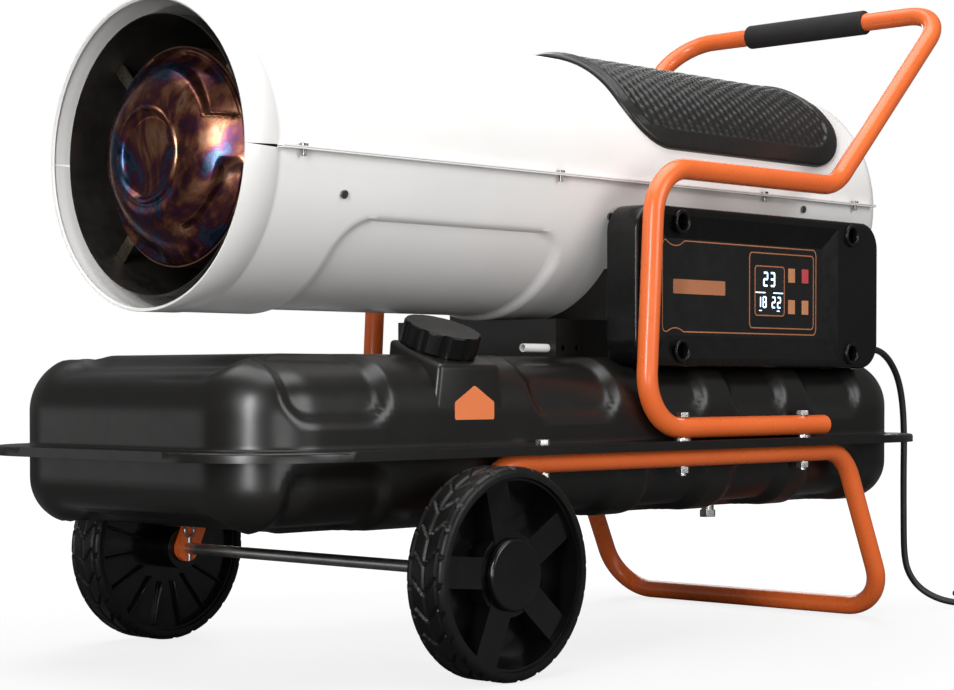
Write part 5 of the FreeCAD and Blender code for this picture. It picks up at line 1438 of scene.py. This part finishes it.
    def fold(self, shape: Shape, edges: list[BMEdge], move_at: Callable[[Vector], Vector]) -> list[BMEdge]:
        """Extrude boundary edges and move the new ones.

        Args:
            shape: mesh of the tank half.
            edges: edges to extrude.
            move_at: move at a place.

        Returns:
            The new boundary edges.
        """
        made = bmesh.ops.extrude_edge_only(shape.bm, edges=edges)["geom"]
        for vert in made:
            if isinstance(vert, BMVert):
                vert.co += move_at(vert.co)
        return [g for g in made if isinstance(g, BMEdge) and g.is_boundary]


@dataclass
class Filler:
    """Leaning filler wedge with its neck, the screw cap and a plain tag below."""

    seat: Point = (150.0, -266.0, 310.0)
    lean: float = 20.0
    wide: float = 98.0
    inner_x: float = 124.0
    outer_x: float = 194.3
    foot_z: float = 240.0
    draft: float = 8.0
    edge: float = 5.0
    neck_r: float = 26.9
    neck_h: float = 15.8
    neck_sink: float = 4.0
    tag_y: Span = (-287.6, -234.1)
    tag_z: Point = (241.8, 258.5, 274.3)
    tag_t: float = 0.6
    tag_corner: float = 1.6

    def build(self, frame: Frame) -> None:
        """Make the wedge, the tag and the cap.

        Args:
            frame: the CAD frame.
        """
        self.wedge()
        self.tag()
        soften(frame, "fuel_cap", CAP_BLACK, 1.0)
        frame.dress(RUBBER, "cap_gasket")

    def wedge(self) -> None:
        """Prism on the tank's rounded edge, with the neck on its leaning top."""
        half = self.wide / 2
        slope = math.tan(math.radians(self.lean))
        shape = Shape()
        verts = shape.block((self.inner_x, self.seat[1] - half, self.foot_z),
                            (self.outer_x, self.seat[1] + half, self.seat[2]))
        top = [v for v in verts if v.co.z > self.foot_z + 1.0]
        for vert in top:
            vert.co.z -= (vert.co.x - self.seat[0]) * slope
            vert.co.y += math.copysign(self.draft, self.seat[1] - vert.co.y)
        shape.bevel([e for e in shape.bm.edges if any(v in top for v in e.verts)], self.edge, 5)
        heading = Vector((math.sin(math.radians(self.lean)), 0.0, math.cos(math.radians(self.lean))))
        start = Vector(self.seat) - heading * self.neck_sink
        shape.bar(start, Vector(self.seat) + heading * self.neck_h, self.neck_r, 64)
        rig.replaces(shape.piece("filler_wedge", TANK_BLACK, ROOT, "tank_paint"), "filler_neck")

    def tag(self) -> None:
        """Plain house-shaped tag on the wedge's outer face."""
        low, eaves, peak = self.tag_z
        shape = Shape()
        shape.block((self.outer_x, self.tag_y[0], low), (self.outer_x + self.tag_t, self.tag_y[1], eaves))
        shape.divide(1, 2)
        middle = sum(self.tag_y) / 2
        for vert in shape.bm.verts:
            if abs(vert.co.y - middle) < NEAR and vert.co.z > low + 1.0:
                vert.co.z = peak
        outline = [e for e in shape.bm.edges if abs(e.verts[0].co.x - e.verts[1].co.x) > self.tag_t / 2
                   and not (abs(e.verts[0].co.y - middle) < NEAR and e.verts[0].co.z < eaves)]
        shape.bevel(outline, self.tag_corner, 4)
        shape.piece("plain_tag", TAG_ORANGE, ROOT, "frame_paint")


@dataclass
class Wheel:
    """One wheel: treaded tyre, moulded rim and hub cap."""

    side: Side
    body: str
    inner_x: float = 230.5
    wide: float = 47.0
    radius: float = 100.0
    seat_r: float = 90.0
    seat_gap: float = 0.2
    shoulder: float = 6.0
    axle_y: float = -290.0
    axle_z: float = 100.0
    blocks: int = 24
    groove_depth: float = 2.0
    groove_share: float = 0.10
    slant: float = 0.95
    side_groove: float = 0.66
    side_soft: Span = (0.06, 0.025)
    middle_soft: Span = (0.09, 0.04)
    edge_fade: Span = (1.0, 0.86)
    root_fade: Span = (3.0, 7.0)
    steps: int = 480
    ribs: int = 15
    rib_x: Span = (236.5, 242.0)
    rib_r: Span = (38.0, 87.5)
    rib_half: float = 1.3
    rib_edge: float = 0.5

    def build(self, frame: Frame) -> None:
        """Make the tyre and inner ribs, and round off the moulded pieces.

        Args:
            frame: the CAD frame.
        """
        self.tyre()
        self.inner_ribs()
        soften(frame, f"{self.body}_rim", WHEEL_BLACK, 1.6)
        soften(frame, f"{self.side.name.lower()}_hub_cap", WHEEL_BLACK, 0.8)

    def tyre(self) -> None:
        """Turn the tyre and cut its slanted tread blocks."""
        shape = Shape()
        place = along((self.side.value * self.inner_x, self.axle_y, self.axle_z), (self.side.value, 0, 0))
        shape.turn(self.section(), place, self.steps)
        shape.outward()
        for vert in shape.bm.verts:
            out = Vector((0.0, vert.co.y - self.axle_y, vert.co.z - self.axle_z))
            vert.co -= out.normalized() * self.tread(out, abs(vert.co.x) - self.inner_x)
        side = self.side.name.lower()
        piece = shape.piece(f"{side}_treaded_tyre", RUBBER, self.body, "tyre_rubber", sharp=28.0)
        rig.replaces(piece, f"{side}_tyre")

    def inner_ribs(self) -> None:
        """Thin ribs that stiffen the web on the side of the frame."""
        shape = Shape()
        low, high = sorted(self.side.value * x for x in self.rib_x)
        for k in range(self.ribs):
            verts = shape.block((low, -self.rib_half, self.rib_r[0]), (high, self.rib_half, self.rib_r[1]))
            turn = Matrix.Rotation(math.tau * k / self.ribs, 3, "X")
            bmesh.ops.rotate(shape.bm, cent=(0, 0, 0), matrix=turn, verts=verts)
        shape.bevel(shape.bm.edges[:], self.rib_edge, 2)
        bmesh.ops.translate(shape.bm, vec=(0.0, self.axle_y, self.axle_z), verts=shape.bm.verts[:])
        shape.outward()
        shape.piece(f"{self.side.name.lower()}_wheel_ribs", WHEEL_BLACK, self.body, "wheel_plastic")

    def section(self) -> list[Span]:
        """Closed section of the tyre.

        Returns:
            Points of radius and width from the inner side.
        """
        seat = self.seat_r + self.seat_gap
        bend = quarter_round(self.shoulder, 5)
        flat = self.wide - 2 * self.shoulder
        points = [(seat, 0.0), *[(self.radius - inset, run) for inset, run in bend]]
        points += [(self.radius, self.shoulder + flat * k / 20) for k in range(1, 21)]
        points += [(self.radius - run, self.wide - inset) for inset, run in bend[1:]]
        return [*points, (seat, self.wide), (seat, 0.0)]

    def tread(self, out: Vector, across: float) -> float:
        """Depth of the tread at a place: slanted grooves, a middle groove and one in each side.

        Args:
            out: step from the axle to the place.
            across: width from the inner side.

        Returns:
            The depth.
        """
        aside = abs(across - self.wide / 2) / (self.wide / 2)
        turned = math.atan2(out.z, out.y) / math.tau * self.blocks
        shift = 0.5 if aside > self.side_groove else 0.0
        place = (turned + shift + self.slant * aside) % 1.0
        slot = ease(self.groove_share, self.groove_share * 0.5, abs(place - 0.5))
        slot *= ease(*self.edge_fade, aside)
        rings = max(ease(*self.middle_soft, aside), ease(*self.side_soft, abs(aside - self.side_groove)))
        return self.groove_depth * max(slot, rings) * ease(*self.root_fade, out.length - self.seat_r)


@dataclass
class ControlBox:
    """Black control box with its sunk panel: copper lines, lit display and keys."""

    floor_x: float = 185.0
    slope: float = 0.25
    field_y: Span = (40.0, 323.0)
    field_z: Span = (327.0, 430.0)
    line: float = 1.3
    line_t: float = 0.3
    column: float = 1.6
    outer_y: Span = (30.0, 312.0)
    outer_z: Span = (330.5, 428.5)
    notch_y: float = 55.0
    notch_r: float = 24.0
    boss_z: Span = (310.5, 447.0)
    inner_y: Span = (185.0, 307.0)
    inner_z: Span = (337.0, 421.5)
    plate_y: Span = (51.5, 141.5)
    plate_z: Span = (371.5, 387.0)
    display: Span = (223.0, 379.0)
    display_half: float = 28.0
    digit_t: float = 0.15
    numbers: tuple[tuple[str, float, float, float, float], ...] = (
        ("23", -1.0, 13.0, 16.5, 9.0), ("18", -14.5, -12.5, 13.0, 7.0), ("22", 12.5, -12.5, 13.0, 7.0))
    strokes: tuple[tuple[Span, Span], ...] = (
        ((-17.0, -2.0), (9.0, 0.6)), ((-17.0, -22.0), (2.5, 0.5)),
        ((16.0, -2.0), (9.0, 0.6)), ((16.0, -22.0), (2.5, 0.5)))
    corners: Point = (7.0, 5.0, 4.0)
    plate_corner: float = 0.8
    face: float = 190.8
    boss_y: Span = (58.0, 373.0)
    boss_r: float = 13.0
    well_r: float = 8.6
    boss_h: float = 4.0

    def build(self, frame: Frame) -> None:
        """Round off the moulded pieces and print the panel.

        Args:
            frame: the CAD frame.
        """
        soften(frame, "box_rear", BOX_BLACK, 2.0)
        soften(frame, "box_cover", BOX_BLACK, 1.2, limit=8.0)
        soften(frame, "cover_screws", DARK_STEEL, 0.4)
        frame.dress(PANEL_BLACK, "label_panel")
        frame.dress(SCREEN, "display")
        for node in ("key_menu", "key_down", "key_up"):
            soften(frame, node, KEY_COPPER, 0.35)
        soften(frame, "key_power", KEY_RED, 0.35)
        self.lines()
        self.plate()
        self.digits()
        self.bosses()

    def bosses(self) -> None:
        """Raised rings with rounded tops round the screw wells."""
        mid = (self.boss_r + self.well_r) / 2
        half = (self.boss_r - self.well_r) / 2
        turns = [math.radians(180.0 * k / 8) for k in range(9)]
        crest = [(mid + half * math.cos(t), self.boss_h - half + half * math.sin(t)) for t in turns]
        section = [(self.boss_r, 0.0), *crest, (self.well_r, 0.0), (self.boss_r, 0.0)]
        shape = Shape()
        for y in self.boss_y:
            for z in self.boss_z:
                shape.turn(section, along((self.face, y, z), (1, 0, 0)), 48)
        shape.outward()
        shape.piece("screw_well_rings", BOX_BLACK, ROOT, "box_plastic")

    def face_x(self, y: float, z: float) -> float:
        """Height of the panel floor, or of the slope round it, at a place."""
        out = max(self.field_y[0] - y, y - self.field_y[1], self.field_z[0] - z, z - self.field_z[1], 0.0)
        return self.floor_x + self.slope * out

    def outline(self, shape: Shape, span_y: Span, span_z: Span, corner: float,
                notched: bool = False) -> BMFace:
        """Add a flat rounded rectangle on the panel.

        Args:
            shape: mesh that takes it.
            span_y: first and last length.
            span_z: lowest and highest place.
            corner: corner radius.
            notched: whether it keeps clear of the front bosses.

        Returns:
            Its one face.
        """
        known = set(shape.bm.faces)
        length = span_y[1] - span_y[0]
        columns = round(length / self.column)
        grid = bmesh.ops.create_grid(shape.bm, x_segments=columns, y_segments=1, size=0.5)
        for vert in grid["verts"]:
            y = span_y[0] + (vert.co.x + 0.5) * length
            draw = draw_back(min(y - span_y[0], span_y[1] - y), corner)
            z = span_z[1] - draw if vert.co.y > 0.0 else span_z[0] + draw
            vert.co = (0.0, y, self.notch(y, z) if notched else z)
        faces = [f for f in shape.bm.faces if f not in known]
        return bmesh.ops.dissolve_faces(shape.bm, faces=faces)["region"][0]

    def notch(self, y: float, z: float) -> float:
        """Height of a point of the outer line, kept clear of the front bosses.

        Args:
            y: place along the box.
            z: height before the notch.

        Returns:
            The height with the notch.
        """
        aside = abs(y - self.notch_y)
        if aside > self.notch_r:
            return z
        dip = math.sqrt(self.notch_r ** 2 - aside ** 2)
        if z > self.display[1]:
            return min(z, self.boss_z[1] - dip)
        return max(z, self.boss_z[0] + dip)

    def lines(self) -> None:
        """Raised copper outlines of the panel, the key field and the display."""
        shape = Shape()
        screen_y, screen_z = ((c - self.display_half, c + self.display_half) for c in self.display)
        self.ring(shape, self.outer_y, self.outer_z, self.corners[0], True)
        self.ring(shape, self.inner_y, self.inner_z, self.corners[1], False)
        self.ring(shape, screen_y, screen_z, self.corners[2], False)
        self.raise_up(shape)
        shape.piece("panel_lines", PANEL_COPPER, ROOT, "panel_print")

    def ring(self, shape: Shape, span_y: Span, span_z: Span, corner: float, notched: bool) -> None:
        """Add one closed line, notched round the front bosses where asked.

        Args:
            shape: mesh that takes it.
            span_y: first and last length.
            span_z: lowest and highest place.
            corner: corner radius.
            notched: whether it keeps clear of the front bosses.
        """
        face = self.outline(shape, span_y, span_z, corner, notched)
        bmesh.ops.inset_region(shape.bm, faces=[face], thickness=self.line, use_even_offset=True,
                               use_boundary=True)
        bmesh.ops.delete(shape.bm, geom=[face], context="FACES")

    def raise_up(self, shape: Shape) -> None:
        """Lay flat faces on the panel and give them their small thickness.

        Args:
            shape: mesh with the flat faces.
        """
        for vert in shape.bm.verts:
            vert.co.x = self.face_x(vert.co.y, vert.co.z) + self.line_t
        shape.facing(lambda place: Vector((1.0, 0.0, 0.0)))
        shape.thicken(self.line_t)

    def plate(self) -> None:
        """Plain copper plate left of the display."""
        shape = Shape()
        self.outline(shape, self.plate_y, self.plate_z, self.plate_corner)
        self.raise_up(shape)
        shape.piece("panel_plate", PANEL_COPPER, ROOT, "panel_print")

    def digits(self) -> None:
        """Lit seven-segment numbers with a split line."""
        shape = Shape()
        y, z = self.display
        for digits, aside, up, high, wide in self.numbers:
            self.number(shape, digits, y + aside, z + up, high, wide)
        for (aside, up), half in self.strokes:
            self.stroke(shape, (y + aside, z + up), half)
        shape.piece("display_digits", DIGIT_GLOW, ROOT, "display_glass")

    def stroke(self, shape: Shape, middle: Span, half: Span) -> None:
        """Add one lit bar on the display, by its middle and half sizes along Y and Z."""
        shape.block((self.floor_x, middle[0] - half[0], middle[1] - half[1]),
                    (self.floor_x + self.digit_t, middle[0] + half[0], middle[1] + half[1]))

    def number(self, shape: Shape, text: str, y: float, z: float, high: float, wide: float) -> None:
        """Add the lit segments of a number.

        Args:
            shape: mesh that takes them.
            text: digits to show.
            y: middle of the number.
            z: middle height.
            high: height of a digit.
            wide: width of a digit.
        """
        stroke = high * 0.13
        pitch = wide + stroke * 1.9
        for place, digit in enumerate(text):
            middle = y + (place - (len(text) - 1) / 2) * pitch
            for key in SEGMENTS[digit]:
                side, level, upright = SEGMENT_PLACES[key]
                centre_y = middle + side * (wide - stroke) / 2
                centre_z = z + level * (high - stroke) / 2
                half_y = stroke / 2 if upright else wide / 2 - stroke * 0.6
                half_z = high / 4 - stroke * 0.35 if upright else stroke / 2
                self.stroke(shape, (centre_y, centre_z), (half_y, half_z))


@dataclass
class TopPad:
    """Ribbed black cover on the barrel, with a smooth raised rim."""

    base_r: float = 146.1
    rise: float = 8.2
    half_angle: float = 75.2
    front: float = 38.0
    front_bow: float = 4.0
    front_corner: float = 62.0
    rear: float = 458.0
    rear_bow: float = 20.0
    rear_corner: float = 70.0
    edge_round: float = 4.0
    edge_rise: float = 5.0
    front_rim: float = 13.0
    rear_rim: float = 22.0
    side_rim: float = 22.0
    side_blend: Span = (1.6, 0.9)
    field_depth: float = 3.6
    field_soft: float = 3.0
    rib_pitch: float = 12.4
    rib_rise: float = 2.6
    bump_run: float = 12.0
    bump_share: float = 0.2
    rows: int = 230
    steps: int = 196
    border: tuple[float, ...] = (0.0, 0.3, 0.8, 1.6, 2.7)
    tight: float = 6.0

    def build(self) -> None:
        """Spin a sheet, cut it to the outline and raise rim and ribs."""
        shape = Shape()
        length = self.rear - self.front
        inner = 1.5 * self.border[-1]
        rows = [inner + (length - 2.0 * inner) * k / self.rows for k in range(self.rows + 1)]
        gaps = [*self.border, *rows, *[length - gap for gap in reversed(self.border)]]
        section = [(self.base_r, -gap) for gap in gaps]
        shape.turn(section, BARREL_AXIS, self.steps, 90.0 - self.half_angle, 2 * self.half_angle)
        for vert in shape.bm.verts:
            vert.co = self.formed(vert.co)
        self.underside(shape)
        shape.outward()
        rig.replaces(shape.piece("ribbed_pad", PAD_BLACK, ROOT, "pad_plastic", sharp=60.0), "top_pad")

    def underside(self, shape: Shape) -> None:
        """Close the pad with a plain copy of its sheet on the barrel.

        Args:
            shape: mesh of the pad.
        """
        copy = bmesh.ops.duplicate(shape.bm, geom=shape.bm.faces[:])["geom"]
        for vert in copy:
            if isinstance(vert, BMVert):
                out = radial(vert.co)
                vert.co += out.normalized() * (self.base_r - out.length)

    def ends(self, turn: float) -> Span:
        """First and last length at an angle round the barrel, before the corners are rounded."""
        share = math.cos(turn) ** 2
        return self.front + self.front_bow * share, self.rear - self.rear_bow * share

    def edge_gap(self, arc: float, to_front: float, to_rear: float) -> float:
        """Distance to the outline.

        Args:
            arc: arc length from the lower edge.
            to_front: length from the front before its corners are rounded.
            to_rear: length to the rear before its corners are rounded.

        Returns:
            The shortest way to the edge.
        """
        gap = min(arc, to_front, to_rear)
        for corner, inward in ((self.front_corner, to_front), (self.rear_corner, to_rear)):
            if arc < corner and inward < corner:
                gap = min(gap, corner - math.hypot(corner - arc, corner - inward))
        return max(gap, 0.0)

    def rim_lift(self, gap: float, rim: float) -> float:
        """Height of the rim at a distance from the outline.

        Args:
            gap: distance from the outline.
            rim: width of the rim.

        Returns:
            The height over the barrel.
        """
        short = 1.0 - min(gap / self.edge_round, 1.0)
        share = min(max((gap - self.edge_round) / (rim - self.edge_round), 0.0), 1.0)
        return self.edge_rise * math.sqrt(1.0 - short ** 2) + (self.rise - self.edge_rise) * share

    def formed(self, place: Vector) -> Vector:
        """Move a point of the plain sheet to the pad's surface.

        Args:
            place: point of the sheet.

        Returns:
            The point on the pad.
        """
        half = math.radians(self.half_angle) * self.base_r
        out = radial(place)
        middle = (math.atan2(out.z, out.x) - math.pi / 2) * self.base_r
        arc = max(half - abs(middle), 0.0)
        arc = arc ** 2 / (2.0 * self.tight) if arc < self.tight else arc - self.tight / 2
        run = math.copysign(half - self.tight / 2 - arc, middle)
        turn = math.pi / 2 + run / self.base_r
        front, rear = self.ends(turn)
        first = front + draw_back(arc, self.front_corner)
        last = rear - draw_back(arc, self.rear_corner)
        y = first + (last - first) * place.y / (self.rear - self.front)
        gap = self.edge_gap(arc, y - front, rear - y)
        rim = self.front_rim + (self.rear_rim - self.front_rim) * ease(front, rear, y)
        rim = max(rim, self.side_rim * ease(*self.side_blend, arc / self.side_rim))
        field = ease(0.0, self.field_soft, gap - rim)
        rib = y / self.rib_pitch
        wave = math.cos(math.tau * run / self.bump_run + math.pi * round(rib))
        bump = 1.0 - self.bump_share + self.bump_share * wave
        lift = self.rim_lift(gap, rim)
        lift += field * (self.rib_rise * bump * (0.5 + 0.5 * math.cos(math.tau * rib)) - self.field_depth)
        reach = self.base_r + lift
        return Vector((reach * math.cos(turn), y, reach * math.sin(turn) + BARREL_Z))


@dataclass
class TubeFrame:
    """Orange tube frame with its foam grip and fasteners."""

    grip_half: float = 90.0
    grip_r: float = 15.0
    grip_bore: float = 11.3
    grip_round: float = 3.0
    bar_y: float = 552.0
    bar_z: float = 727.0

    def build(self, frame: Frame) -> None:
        """Dress the tubes and fasteners, and make the grip.

        Args:
            frame: the CAD frame.
        """
        for node in ("handle_tube", "leg_tube"):
            soften(frame, node, FRAME_ORANGE, 0.5)
        self.grip()
        for node in ("frame_bolts", "frame_nuts"):
            soften(frame, node, ZINC, 0.4)
        frame.dress(ZINC, "bolt_spacers", "cotter_pins")
        soften(frame, "axle", AXLE_STEEL, 0.5)

    def grip(self) -> None:
        """Foam sleeve with soft ends."""
        ends = [(self.grip_r - inset, run) for inset, run in quarter_round(self.grip_round, 6)]
        length = 2 * self.grip_half
        section = [(self.grip_bore, 0.0), *ends, *[(r, length - h) for r, h in reversed(ends)],
                   (self.grip_bore, length), (self.grip_bore, 0.0)]
        shape = Shape()
        shape.turn(section, along((-self.grip_half, self.bar_y, self.bar_z), (1, 0, 0)), 72)
        shape.outward()
        piece = shape.piece("foam_sleeve", FOAM, ROOT, "foam")
        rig.replaces(piece, "foam_grip")
        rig.padded(piece, 1.0)


@dataclass
class Inside:
    """Burner, motor, fan, pump and guard, seen through the openings."""

    edge: float = 0.6

    def build(self, frame: Frame) -> None:
        """Dress the inner pieces by what they are made of.

        Args:
            frame: the CAD frame.
        """
        for node in ("motor", "motor_bracket"):
            soften(frame, node, MOTOR_GREY, self.edge)
        for node in ("pump_body", "pump_cover"):
            soften(frame, node, CAST, self.edge)
        soften(frame, "rear_guard", DARK_STEEL, 0.3)
        frame.dress(ZINC, "fan", "fan_shaft")
        frame.dress(CARBON, "pump_rotor")
        frame.dress(DRUM_STEEL, "burner_body")
        frame.dress(WHITE_PLASTIC, "electrodes")
        frame.dress(GAUGE_FACE, "pressure_gauge")
        frame.dress(COPPER_PIPE, "air_pipe")
        frame.dress(BOARD, "circuit_board")
        frame.dress(MOTOR_GREY, "ignition_transformer")


def main() -> None:
    """Build the heater around its frame, piece by piece."""
    logging.basicConfig(level=logging.INFO, format="%(name)s: %(message)s")
    frame = Frame()
    Studio().build()
    FuelTank().build(frame)
    Filler().build(frame)
    Barrel().build(frame)
    Outlet().build(frame)
    TopPad().build()
    ControlBox().build(frame)
    TubeFrame().build(frame)
    for side in Side:
        Wheel(side, f"{side.name.lower()}_wheel").build(frame)
    Inside().build(frame)
    MainsLead().build(frame)
    frame.write_sizes("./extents.json")


if __name__ == "__main__":
    main()
